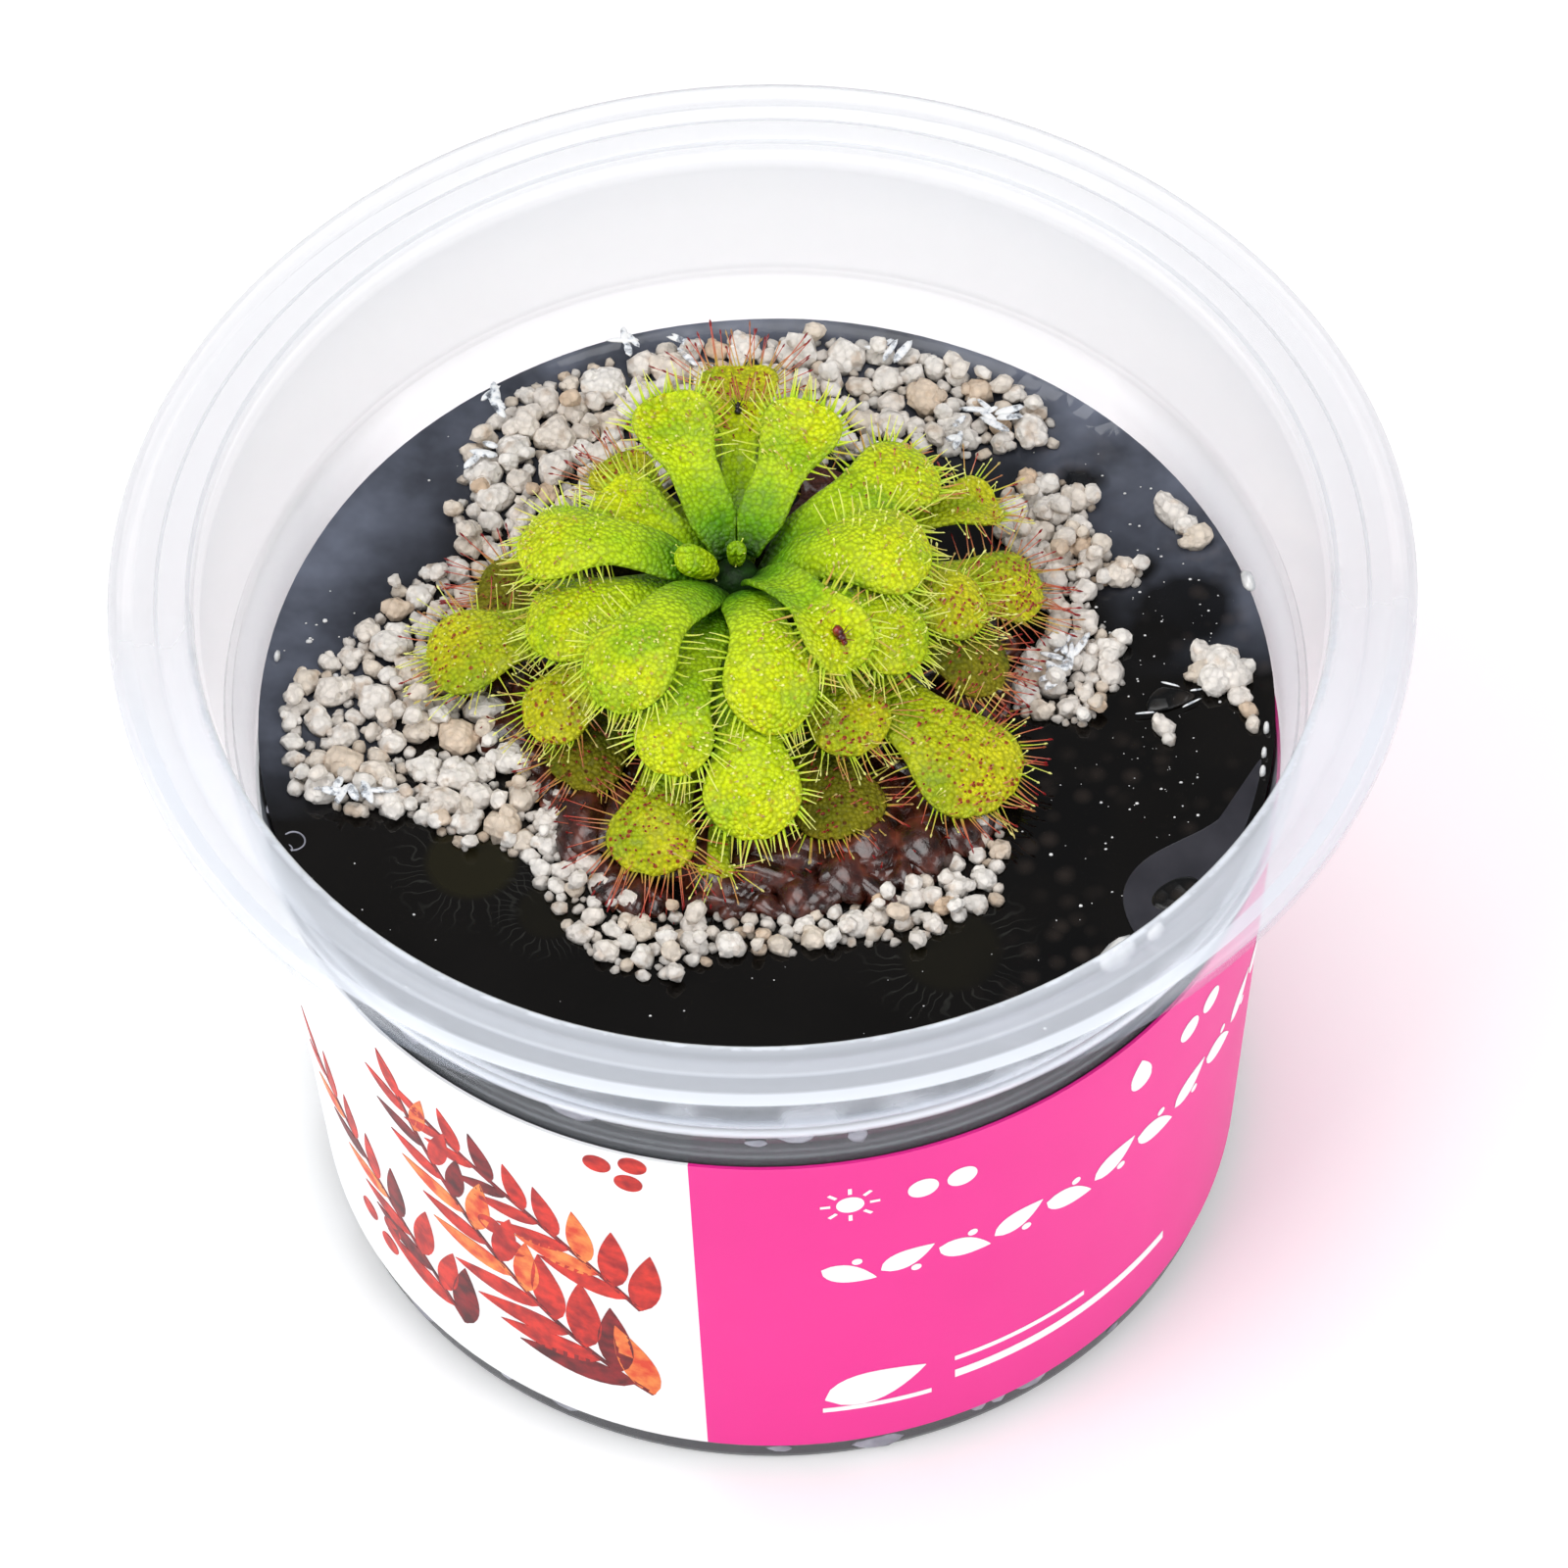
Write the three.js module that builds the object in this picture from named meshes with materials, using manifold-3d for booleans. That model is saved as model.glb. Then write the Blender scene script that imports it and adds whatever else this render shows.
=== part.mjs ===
// A sundew rosette that grows in black gel in a clear round cup, with perlite grains on the gel and a label
// sleeve round the cup. Units are millimetres and +Z is up. The origin is the centre of the cup's base, so
// the part stands on z = 0.

import * as THREE from 'three';
import { mergeVertices } from 'three/addons/utils/BufferGeometryUtils.js';
import Module from 'manifold-3d';

const wasm = await Module();
wasm.setup();

// ---------------------------------------------------------------- driving dimensions

const CUP_HEIGHT = 67;
const RIM_RADIUS = 50.5;
const BASE_RADIUS = 36.3;
const CONE_TOP_RADIUS = 39.8;
const CONE_TOP = 45.6;
const STEP_RADIUS = 42.2;
const STEP_HEIGHT = 53;
const MOUTH_RADIUS = 44.4;
const WALL = 0.6;
const FLOOR = 0.9;
const ROUND_SEGMENTS = 36;

const LABEL_BOTTOM = 3;
const LABEL_TOP = 45.3;
const LABEL_THICKNESS = 0.25;
const LABEL_GAP = 0.15;

const GEL_TOP = 50;
const GEL_GAP = 0.3;
const MENISCUS = 0.3;

const CROWN_X = -2;
const CROWN_Y = 8.5;
const CROWN_TOP = 58;
const STEM_FOOT_RADIUS = 2.5;
const STEM_TOP_RADIUS = 1.7;
const ROOT_RADIUS = 1.2;
const ROOT_DEPTH = 6;

// A leaf: shares of its length and half width that shape the stalk and the round blade.
const BLADE_THICKNESS = 0.7;
const BLADE_ROUNDNESS = 1.15;
const MOST_BLADE_SHARE = 0.62;
const BLADE_TIP_ROUNDING = 0.94;
const BLADE_SHOULDER = 0.85;
const STALK_SHARE = 0.5;
const STALK_FOOT_SHARE = 0.22;
const FOOT_HALF_WIDTH = 0.6;
const STALK_STATIONS = 3;
const SEAT_GAP = 0.3;
const CLEARANCE = 0.15;

// Tentacles: how far those nearest the stalk lean back, and the least and most lift and length of any.
const TENTACLE_PAIRS = 5;
const TENTACLE_LENGTH = 2.9;
const TENTACLE_LEAN_BACK = 0.25;
const TENTACLE_LIFT = [0.1, 0.6];
const TENTACLE_LENGTH_SHARE = [0.8, 1.2];

// Perlite: grains in a jittered honeycomb, kept clear of the cup's wall and just above the gel.
const GRAIN_PITCH = 3.2;
const GRAIN_JITTER = 0.5;
const GRAIN_RADIUS = 2.15;
const GRAIN_SPREAD = 0.4;
const GRAIN_HEIGHT_SHARE = 1.25;
const GRAIN_TOP_SHARE = 0.6;
const GRAIN_STRETCH = [0.82, 1.12];
const GRAIN_TILT = 0.3;
const GRAIN_RISE = 0.35;
const PERLITE_WALL_MARGIN = 5.4;
const PERLITE_GAP = 0.2;

const SEEDS = { tentacles: 7, bed: 3, patch: 5, clumps: 11 };

const COLOURS = {
  cup: 0xe9edf2,
  label: 0xf0379b,
  gel: 0x14161a,
  perlite: 0xe1d7cd,
  crown: 0x2f6b12,
  young: 0x9ccc1c,
  mature: 0x84ac1e,
  old: 0x6c7a22,
  dead: 0x5a2418,
};

// Living leaves from the oldest, lowest one to the youngest: name, compass turn in degrees from +X, reach
// from the stem's axis to the tip, heights of the foot, the arch and the tip above the gel, half the blade's
// width, how far the edges stand up (or hang, below zero) as a share of the half width, age, and where the
// stalk starts if that isn't at the stem.
const LEAVES = [
  ['leaf_front_shade', -69, 23.5, 1.4, 3.2, 2.2, 3.7, -0.2, 'old'],
  ['leaf_left_shade', -131, 21, 1.4, 3.2, 2, 3.3, -0.2, 'old'],
  ['leaf_front_small', -95, 25.4, 1.8, 2.2, 1.8, 1.5, 0.2, 'mature', 17.5],
  ['leaf_left_far_low', 172, 20.5, 1.4, 3.0, 2, 3.2, 0.1, 'old'],
  ['leaf_right_big', -44, 28, 2.4, 5.2, 2.4, 4.7, -0.15, 'mature'],
  ['leaf_right_far', 1, 23.8, 1.9, 5, 3, 3.5, -0.1, 'mature'],
  ['leaf_front_low', -108, 26, 2.4, 4.6, 1.8, 3.6, -0.2, 'mature'],
  ['leaf_back_low', 88, 22.5, 2.4, 5, 5, 3.2, 0.2, 'mature'],
  ['leaf_right_brown', -22, 22.2, 3.2, 5.8, 3.2, 3.2, -0.2, 'old'],
  ['leaf_left_far', -169, 24.6, 2.9, 5.0, 2.6, 4, -0.1, 'mature'],
  ['leaf_front_right_low', -59, 19, 3.4, 6.6, 4.6, 3.4, -0.2, 'mature'],
  ['leaf_right_back_edge', 19, 21.8, 3.2, 7, 5.6, 2.6, 0.3, 'mature'],
  ['leaf_back_left_low', 127, 16.5, 3.4, 5.4, 5.2, 2.8, 0.1, 'mature'],
  ['leaf_left_under', -143, 20.3, 3.8, 6.3, 3.6, 3.2, -0.2, 'mature'],
  ['leaf_right_mid', -12, 19.7, 4.3, 7, 5, 3.3, -0.2, 'mature'],
  ['leaf_front_centre', -88, 23.8, 4.6, 7.8, 3.6, 3.9, -0.25, 'young'],
  ['leaf_left_low', -163, 17, 4.9, 8.4, 6.2, 3.9, -0.25, 'young'],
  ['leaf_right_back', 31, 18, 4.6, 9.4, 8.4, 3.7, -0.1, 'young'],
  ['leaf_front_left_under', -107, 20.2, 5.5, 8.8, 5.6, 3.2, -0.2, 'young'],
  ['leaf_back_left_dark', 142, 12.9, 5.1, 8, 8, 2.9, 0.15, 'young'],
  ['leaf_back_small', 87, 15.6, 5.3, 8.4, 9.2, 2.3, 0.3, 'young'],
  ['leaf_right_low', -34, 17, 5.5, 9, 6.6, 3.4, -0.25, 'young'],
  ['leaf_front_right', -80, 17.2, 6.5, 10, 6, 3.8, -0.25, 'young'],
  ['leaf_left_high', 173, 17, 6.4, 10.6, 8.4, 3.7, -0.25, 'young'],
  ['leaf_front_left', -125, 17.8, 6.3, 10.2, 6.8, 3.8, -0.2, 'young'],
  ['leaf_right_high', -4, 15.2, 6.8, 11.2, 9.4, 4.3, -0.25, 'young'],
  ['leaf_back_left', 111, 15.2, 6.5, 10.6, 12.2, 3.3, 0.15, 'young'],
  ['leaf_front_cupped', -54, 14.8, 7.2, 10.8, 7.8, 2.9, 0.3, 'young'],
  ['leaf_back_right', 64, 15, 7.1, 10.2, 11.4, 3.3, 0.1, 'young'],
].map(([name, turn, reach, root, crest, tip, width, dish, age, start]) => (
  { name, turn, reach, root, crest, tip, width, dish, age, start }
));

// Withered leaves that lie flat round the foot, below the living ones: name, turn, reach and half the width.
const WITHERED_HEIGHT = 0.8;
const WITHERED_START = 8;
const DEAD_LEAVES = [
  ['leaf_dead_left', -156, 20, 3.2],
  ['leaf_dead_front_left', -116, 23.5, 3.4],
  ['leaf_dead_front', -85, 24.2, 3.2],
  ['leaf_dead_front_right', -57, 25.5, 3.3],
  ['leaf_dead_right', -27, 23, 3],
  ['leaf_dead_back', 60, 17, 3],
].map(([name, turn, reach, width]) => ({
  name, turn, reach, width, dish: 0, age: 'dead', start: WITHERED_START,
  root: WITHERED_HEIGHT, crest: WITHERED_HEIGHT, tip: WITHERED_HEIGHT,
}));

// Folded young leaves at the growing tip: compass turn and tilt in degrees, distance from the stem's axis,
// height above the gel, length and width.
const BUDS = [
  { name: 'bud_folded', turn: 188, tilt: 35, distance: 3, height: 9.4, length: 4.2, width: 2.4 },
  { name: 'bud_centre', turn: 80, tilt: 75, distance: 0.5, height: 9, length: 2.4, width: 1.7 },
];

// Outlines of the perlite, seen from above: a C-shaped bed round the plant and a patch on its right.
const BED_OUTLINE = [
  [24, 28], [18, 34], [6, 38], [-2, 38], [-10, 37], [-16, 34], [-22, 31], [-25, 23], [-26, 15], [-32, 11],
  [-38, 5], [-38, -3], [-36, -9], [-29, -7], [-23, -13], [-18, -19], [-9, -25.5], [-3, -24.5], [8, -24],
  [17, -21], [21, -12], [17, -9], [12, -14], [3, -16.5], [-6, -17], [-14, -12], [-18, -4], [-19, 5],
  [-16, 15], [-10, 22], [0, 24], [10, 25], [17, 25],
];
const PATCH_OUTLINE = [
  [21, 24], [26, 22], [30, 13], [26, 7], [28, 2], [26, -3], [20, -1], [21, 7], [19, 15],
];

// Loose grains beside the bed: where each clump lies and how many grains it holds.
const CLUMPS = [
  { name: 'perlite_clump_right', x: 36.4, y: 1, grains: 5, radius: 1.5, spread: 1.5 },
  { name: 'perlite_clump_back', x: 33.2, y: 17.4, grains: 3, radius: 1.1, spread: 1.1 },
  { name: 'perlite_chip', x: 31, y: -3, grains: 2, radius: 0.8, spread: 0.6 },
];

// ---------------------------------------------------------------- solids and small helpers

// The same draw every time, between 0 and 1.
function makeRandom(seed) {
  let state = seed;
  return () => {
    state = (state * 1664525 + 1013904223) % 4294967296;
    return state / 4294967296;
  };
}

// A draw between the two ends of a range.
function pick(random, [least, most]) {
  return least + (most - least) * random();
}

// A closed geometry as a solid that can be joined and cut.
function toSolid(geometry) {
  const plain = geometry.clone();
  plain.deleteAttribute('normal');
  plain.deleteAttribute('uv');
  const merged = mergeVertices(plain, 1e-4);
  return new wasm.Manifold(new wasm.Mesh({
    numProp: 3,
    vertProperties: new Float32Array(merged.attributes.position.array),
    triVerts: new Uint32Array(merged.index.array),
  }));
}

// A solid back as a geometry with its own normals.
function toGeometry(solid) {
  const mesh = solid.getMesh();
  const geometry = new THREE.BufferGeometry();
  geometry.setAttribute('position', new THREE.BufferAttribute(new Float32Array(mesh.vertProperties), 3));
  geometry.setIndex(new THREE.BufferAttribute(new Uint32Array(mesh.triVerts), 1));
  geometry.computeVertexNormals();
  return geometry;
}

function smooth(from, to, value) {
  return THREE.MathUtils.smoothstep(value, from, to);
}

// A closed profile of [radius, height] points turned round the Z axis.
function turned(profile, segments) {
  const points = profile.map(([radius, height]) => new THREE.Vector2(radius, height));
  const geometry = new THREE.LatheGeometry(points, segments);
  geometry.rotateX(Math.PI / 2);
  return geometry;
}

function touches(solid, others) {
  return others.some((other) => !solid.intersect(other).isEmpty());
}

function material(colour, roughness) {
  return new THREE.MeshStandardMaterial({ color: colour, roughness, metalness: 0 });
}

const part = new THREE.Group();

function addNode(name, geometry, colour, roughness) {
  const mesh = new THREE.Mesh(geometry, material(colour, roughness));
  mesh.name = name;
  part.add(mesh);
}

// ---------------------------------------------------------------- cup, label and gel

// Outer radius of the cup's cone at a height on it.
function coneRadius(height) {
  return BASE_RADIUS + (CONE_TOP_RADIUS - BASE_RADIUS) * (height / CONE_TOP);
}

// One moulded shell: flat base, cone, a flared belt, a stacking step, the upper wall and the broad rim with
// a crease.
function cupGeometry() {
  const beltTop = STEP_HEIGHT - 2.4;
  const rimUnder = CUP_HEIGHT - 1;
  const outside = [
    [0, 0], [BASE_RADIUS - 1.3, 0], [BASE_RADIUS - 0.4, 0.3], [coneRadius(1.1), 1.1],
    [CONE_TOP_RADIUS, CONE_TOP], [STEP_RADIUS - 1.5, beltTop], [STEP_RADIUS - 1, STEP_HEIGHT - 1.4],
    [STEP_RADIUS, STEP_HEIGHT - 0.8], [STEP_RADIUS, STEP_HEIGHT + 0.8],
    [STEP_RADIUS - 0.2, STEP_HEIGHT + 1.4], [MOUTH_RADIUS - 0.2, rimUnder - 1.2],
    [MOUTH_RADIUS + 0.6, rimUnder], [RIM_RADIUS - 0.5, rimUnder], [RIM_RADIUS, rimUnder + 0.3],
    [RIM_RADIUS, CUP_HEIGHT - 0.3], [RIM_RADIUS - 0.5, CUP_HEIGHT],
  ];
  const inside = [
    [RIM_RADIUS - 3, CUP_HEIGHT - 0.15], [RIM_RADIUS - 3.6, CUP_HEIGHT - 0.4],
    [RIM_RADIUS - 4.2, CUP_HEIGHT - 0.15], [MOUTH_RADIUS + 0.6, CUP_HEIGHT],
    [MOUTH_RADIUS, CUP_HEIGHT - 0.2], [MOUTH_RADIUS - 0.5, rimUnder - 0.2],
    [MOUTH_RADIUS - 0.9, rimUnder - 1.4], [STEP_RADIUS - WALL - 0.2, STEP_HEIGHT + 1.2],
    [STEP_RADIUS - WALL, STEP_HEIGHT + 0.5], [STEP_RADIUS - WALL, STEP_HEIGHT - 0.3],
    [STEP_RADIUS - 1.6, STEP_HEIGHT - 1.1], [STEP_RADIUS - 1.5 - WALL, beltTop - 0.1],
    [CONE_TOP_RADIUS - WALL, CONE_TOP], [coneRadius(1.6) - WALL, FLOOR + 0.7],
    [BASE_RADIUS - 1.4, FLOOR], [0, FLOOR],
  ];
  return turned([...outside, ...inside], ROUND_SEGMENTS);
}

// The printed sleeve that wraps the cone all round.
function labelGeometry() {
  const inner = (height) => coneRadius(height) + LABEL_GAP;
  const outer = (height) => inner(height) + LABEL_THICKNESS;
  const ring = [
    [inner(LABEL_BOTTOM), LABEL_BOTTOM], [outer(LABEL_BOTTOM), LABEL_BOTTOM],
    [outer(LABEL_TOP), LABEL_TOP], [inner(LABEL_TOP), LABEL_TOP], [inner(LABEL_BOTTOM), LABEL_BOTTOM],
  ];
  return turned(ring, ROUND_SEGMENTS);
}

// The block of gel, a little clear of the wall, with a low meniscus and a plain hole for the plant's root.
function gelSolid() {
  const gap = WALL + GEL_GAP;
  const block = toSolid(turned([
    [0, FLOOR + GEL_GAP], [BASE_RADIUS - 1.8, FLOOR + GEL_GAP], [coneRadius(2.2) - gap, FLOOR + 1.3],
    [CONE_TOP_RADIUS - gap, CONE_TOP], [STEP_RADIUS - 1.65 - gap, GEL_TOP - 0.4],
    [STEP_RADIUS - 1.6 - gap, GEL_TOP + MENISCUS], [STEP_RADIUS - 2.4 - gap, GEL_TOP + MENISCUS / 3],
    [STEP_RADIUS - 4 - gap, GEL_TOP], [0, GEL_TOP],
  ], ROUND_SEGMENTS));
  const holeRadius = ROOT_RADIUS + GEL_GAP;
  const holeBottom = GEL_TOP - ROOT_DEPTH - GEL_GAP;
  const holeTop = GEL_TOP + 1;
  const hole = turned([[0, holeBottom], [holeRadius, holeBottom], [holeRadius, holeTop], [0, holeTop]], 16);
  hole.translate(CROWN_X, CROWN_Y, 0);
  return block.subtract(toSolid(hole));
}

// ---------------------------------------------------------------- the plant

// Radius of the short stem at a height above the gel.
function stemRadius(height) {
  const share = THREE.MathUtils.clamp(height / (CROWN_TOP - GEL_TOP), 0, 1);
  return STEM_FOOT_RADIUS + (STEM_TOP_RADIUS - STEM_FOOT_RADIUS) * share;
}

// The short stem: a root peg in the gel's hole, a foot collar just clear of the gel and a rounded tip.
function crownSolid() {
  const foot = GEL_TOP + SEAT_GAP;
  const rootTip = GEL_TOP - ROOT_DEPTH;
  const profile = [
    [0, rootTip], [ROOT_RADIUS * 0.6, rootTip], [ROOT_RADIUS, rootTip + 1],
    [ROOT_RADIUS, foot], [STEM_FOOT_RADIUS, foot], [STEM_TOP_RADIUS, CROWN_TOP - 0.8],
    [STEM_TOP_RADIUS * 0.6, CROWN_TOP - 0.2], [0, CROWN_TOP],
  ];
  const geometry = turned(profile, 12);
  geometry.translate(CROWN_X, CROWN_Y, 0);
  return toSolid(geometry);
}

// The middle surface of a leaf. It gives the point, the outward way along the leaf, the way across it and
// the way up from it, at t from the stem (0) to the tip (1) and v from one edge (-1) to the other (1).
function leafSurface(leaf) {
  const turn = THREE.MathUtils.degToRad(leaf.turn);
  const outward = new THREE.Vector3(Math.cos(turn), Math.sin(turn), 0);
  const sideways = new THREE.Vector3(-Math.sin(turn), Math.cos(turn), 0);
  const up = new THREE.Vector3(0, 0, 1);
  const start = leaf.start ?? stemRadius(leaf.root) + SEAT_GAP;
  const span = leaf.reach - start;
  const crestControl = (leaf.crest - (leaf.root + leaf.tip) / 8) * 4 / 3;
  const midline = new THREE.CubicBezierCurve(
    new THREE.Vector2(start, leaf.root),
    new THREE.Vector2(start + span * 0.3, crestControl),
    new THREE.Vector2(start + span * 0.85, crestControl),
    new THREE.Vector2(leaf.reach, leaf.tip),
  );
  return (t, v) => {
    const middle = midline.getPoint(t);
    const slope = midline.getTangent(t);
    const along = outward.clone().multiplyScalar(slope.x).addScaledVector(up, slope.y);
    const across = sideways.clone();
    const above = along.clone().cross(across).normalize();
    const half = leafHalfWidth(leaf, t);
    const point = outward.clone().multiplyScalar(middle.x).addScaledVector(up, middle.y + GEL_TOP);
    point.addScaledVector(across, v * half);
    point.addScaledVector(above, leaf.dish * half * v * v);
    point.x += CROWN_X;
    point.y += CROWN_Y;
    return { point, along, across, above };
  };
}

// The share of a leaf's length that its round blade takes.
function bladeShare(leaf) {
  return Math.min(MOST_BLADE_SHARE, BLADE_ROUNDNESS * 2 * leaf.width / leaf.reach);
}

// Half the width: a strap-like stalk that widens from a narrow foot, and a round blade at its end.
function leafHalfWidth(leaf, t) {
  const centre = 1 - bladeShare(leaf) / 2;
  const strap = leaf.width * STALK_SHARE;
  const stalk = FOOT_HALF_WIDTH + (strap - FOOT_HALF_WIDTH) * smooth(0, STALK_FOOT_SHARE, t);
  const shoulder = centre - bladeShare(leaf) * BLADE_SHOULDER;
  const widened = stalk + (leaf.width - stalk) * smooth(shoulder, centre, t);
  const past = Math.max(0, (t - centre) / (1 - centre));
  return widened * Math.sqrt(1 - BLADE_TIP_ROUNDING * past * past);
}

// Stations along a leaf: a few on the stalk, then pairs close together round the blade. Each close pair
// carries a tentacle on both edges.
function leafStations(leaf) {
  const blade = bladeShare(leaf);
  const list = [0, (1 - blade) * 0.35, (1 - blade) * 0.7];
  for (let pair = 0; pair < TENTACLE_PAIRS; pair += 1) {
    for (const share of [pair + 0.3, pair + 0.55]) {
      list.push(1 - blade * (1 - Math.sin(share / TENTACLE_PAIRS * Math.PI / 2)));
    }
  }
  return [...list, 1];
}

// The point of the tentacle that grows from one edge between two stations, leaning up by a random amount.
function tentacleTip(leaf, surface, t, edge, random) {
  const ahead = (1 + TENTACLE_LEAN_BACK) * smooth(1 - bladeShare(leaf), 1, t) - TENTACLE_LEAN_BACK;
  const { point, along, across, above } = surface(t, edge);
  const direction = along.clone().multiplyScalar(ahead);
  direction.addScaledVector(across, edge * Math.sqrt(1 - ahead * ahead));
  direction.addScaledVector(above, pick(random, TENTACLE_LIFT)).normalize();
  return point.addScaledVector(direction, TENTACLE_LENGTH * pick(random, TENTACLE_LENGTH_SHARE));
}

// A leaf as one thin closed solid: the same three rows of points on both faces, joined along the edges.
// Where tips holds a point for an edge piece, that piece is drawn out to it as a four-sided tentacle.
function leafSolid(leaf, thickness, tips) {
  const surface = leafSurface(leaf);
  const stations = leafStations(leaf);
  const rows = [-1, 0, 1];
  const positions = [];
  for (const side of [1, -1]) {
    for (const t of stations) {
      for (const v of rows) {
        const { point, above } = surface(t, v);
        point.addScaledVector(above, side * thickness / 2);
        positions.push(point.x, point.y, point.z);
      }
    }
  }
  const columns = rows.length;
  const under = stations.length * columns;
  const index = [];
  const quad = (a, b, c, d, tip) => {
    if (!tip) {
      index.push(a, b, c, a, c, d);
      return;
    }
    const apex = positions.length / 3;
    positions.push(tip.x, tip.y, tip.z);
    index.push(a, b, apex, b, c, apex, c, d, apex, d, a, apex);
  };
  for (let i = 0; i < stations.length - 1; i += 1) {
    for (let j = 0; j < columns - 1; j += 1) {
      const a = i * columns + j;
      const b = a + under;
      index.push(a, a + columns, a + columns + 1, a, a + columns + 1, a + 1);
      index.push(b, b + columns + 1, b + columns, b, b + 1, b + columns + 1);
    }
    const left = i * columns;
    const right = left + columns - 1;
    quad(left, left + under, left + columns + under, left + columns, tips.get(`${i} left`));
    quad(right, right + columns, right + columns + under, right + under, tips.get(`${i} right`));
  }
  const last = (stations.length - 1) * columns;
  for (let j = 0; j < columns - 1; j += 1) {
    quad(j, j + 1, j + 1 + under, j + under);
    quad(last + j, last + j + under, last + j + 1 + under, last + j + 1);
  }
  const geometry = new THREE.BufferGeometry();
  geometry.setAttribute('position', new THREE.Float32BufferAttribute(positions, 3));
  geometry.setIndex(index);
  return toSolid(geometry);
}

// A slim closed spindle from a leaf's edge to a tentacle's tip. It tests whether the tentacle's place is
// free.
function tentacleSpace(surface, t, edge, tip) {
  const base = surface(t, edge).point;
  const way = tip.clone().sub(base);
  const length = way.length() + 2 * CLEARANCE;
  const geometry = new THREE.ConeGeometry(0.6, length, 4);
  geometry.translate(0, length / 2, 0);
  const coneAxis = new THREE.Vector3(0, 1, 0);
  geometry.applyQuaternion(new THREE.Quaternion().setFromUnitVectors(coneAxis, way.normalize()));
  geometry.translate(base.x, base.y, base.z);
  return toSolid(geometry);
}

// The leaf with its foot and its arch raised.
function raised(leaf, foot, arch) {
  return { ...leaf, root: leaf.root + foot, crest: leaf.crest + foot + arch, tip: leaf.tip + foot + arch };
}

// The leaves from the oldest to the youngest. Each foot and arch is raised, by the least sum of small steps,
// until the leaf is clear of those below it.
function placeBlades(leaves, below) {
  const step = 0.25;
  const mostSteps = 14;
  const placed = [];
  for (const leaf of leaves) {
    const taken = [...below, ...placed.map((item) => item.solid)];
    const isFree = (trial) => !touches(leafSolid(trial, BLADE_THICKNESS + 2 * CLEARANCE, new Map()), taken);
    let best = leaf;
    let found = isFree(best);
    for (let sum = 1; sum <= mostSteps && !found; sum += 1) {
      for (let foot = 0; foot <= sum && !found; foot += 1) {
        best = raised(leaf, foot * step, (sum - foot) * step);
        found = isFree(best);
      }
    }
    placed.push({ leaf: best, solid: leafSolid(best, BLADE_THICKNESS, new Map()) });
  }
  return placed;
}

// Draws out each leaf's edge to the tentacles whose place is free.
function growTentacles(placed, fixed) {
  const random = makeRandom(SEEDS.tentacles);
  for (const item of placed) {
    const surface = leafSurface(item.leaf);
    const stations = leafStations(item.leaf);
    const taken = [...fixed, ...placed.filter((other) => other !== item).map((other) => other.solid)];
    const tips = new Map();
    for (let first = STALK_STATIONS; first < stations.length - 1; first += 2) {
      const t = (stations[first] + stations[first + 1]) / 2;
      for (const [side, edge] of [['left', -1], ['right', 1]]) {
        const tip = tentacleTip(item.leaf, surface, t, edge, random);
        if (!touches(tentacleSpace(surface, t, edge, tip), taken)) {
          tips.set(`${first} ${side}`, tip);
        }
      }
    }
    item.solid = leafSolid(item.leaf, BLADE_THICKNESS, tips);
  }
}

// A folded young leaf: a flattened egg.
function budSolid(bud) {
  const turn = THREE.MathUtils.degToRad(bud.turn);
  const geometry = new THREE.SphereGeometry(1, 8, 6);
  geometry.scale(bud.length / 2, bud.width / 2, bud.width / 2.4);
  geometry.rotateY(-THREE.MathUtils.degToRad(bud.tilt));
  geometry.rotateZ(turn);
  geometry.translate(
    CROWN_X + bud.distance * Math.cos(turn),
    CROWN_Y + bud.distance * Math.sin(turn),
    GEL_TOP + bud.height,
  );
  return toSolid(geometry);
}

// ---------------------------------------------------------------- perlite

// One rough grain: a five-sided stump with its corners drawn in and out, tilted and turned at random.
function grainSolid(x, y, radius, random) {
  const height = radius * GRAIN_HEIGHT_SHARE;
  const geometry = new THREE.CylinderGeometry(radius * GRAIN_TOP_SHARE, radius, height, 5);
  geometry.deleteAttribute('normal');
  geometry.deleteAttribute('uv');
  const stone = mergeVertices(geometry, 1e-4);
  const position = stone.attributes.position;
  for (let i = 0; i < position.count; i += 1) {
    const stretch = pick(random, GRAIN_STRETCH);
    position.setXYZ(i, position.getX(i) * stretch, position.getY(i) * stretch, position.getZ(i) * stretch);
  }
  stone.rotateY(random() * 2 * Math.PI);
  stone.rotateX(Math.PI / 2 + pick(random, [-GRAIN_TILT, GRAIN_TILT]));
  stone.translate(x, y, GEL_TOP + GRAIN_RISE * height);
  return toSolid(stone);
}

function insideOutline(outline, x, y) {
  let inside = false;
  for (let i = 0, j = outline.length - 1; i < outline.length; j = i, i += 1) {
    const [xi, yi] = outline[i];
    const [xj, yj] = outline[j];
    if ((yi > y) !== (yj > y) && x < (xj - xi) * (y - yi) / (yj - yi) + xi) {
      inside = !inside;
    }
  }
  return inside;
}

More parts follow.
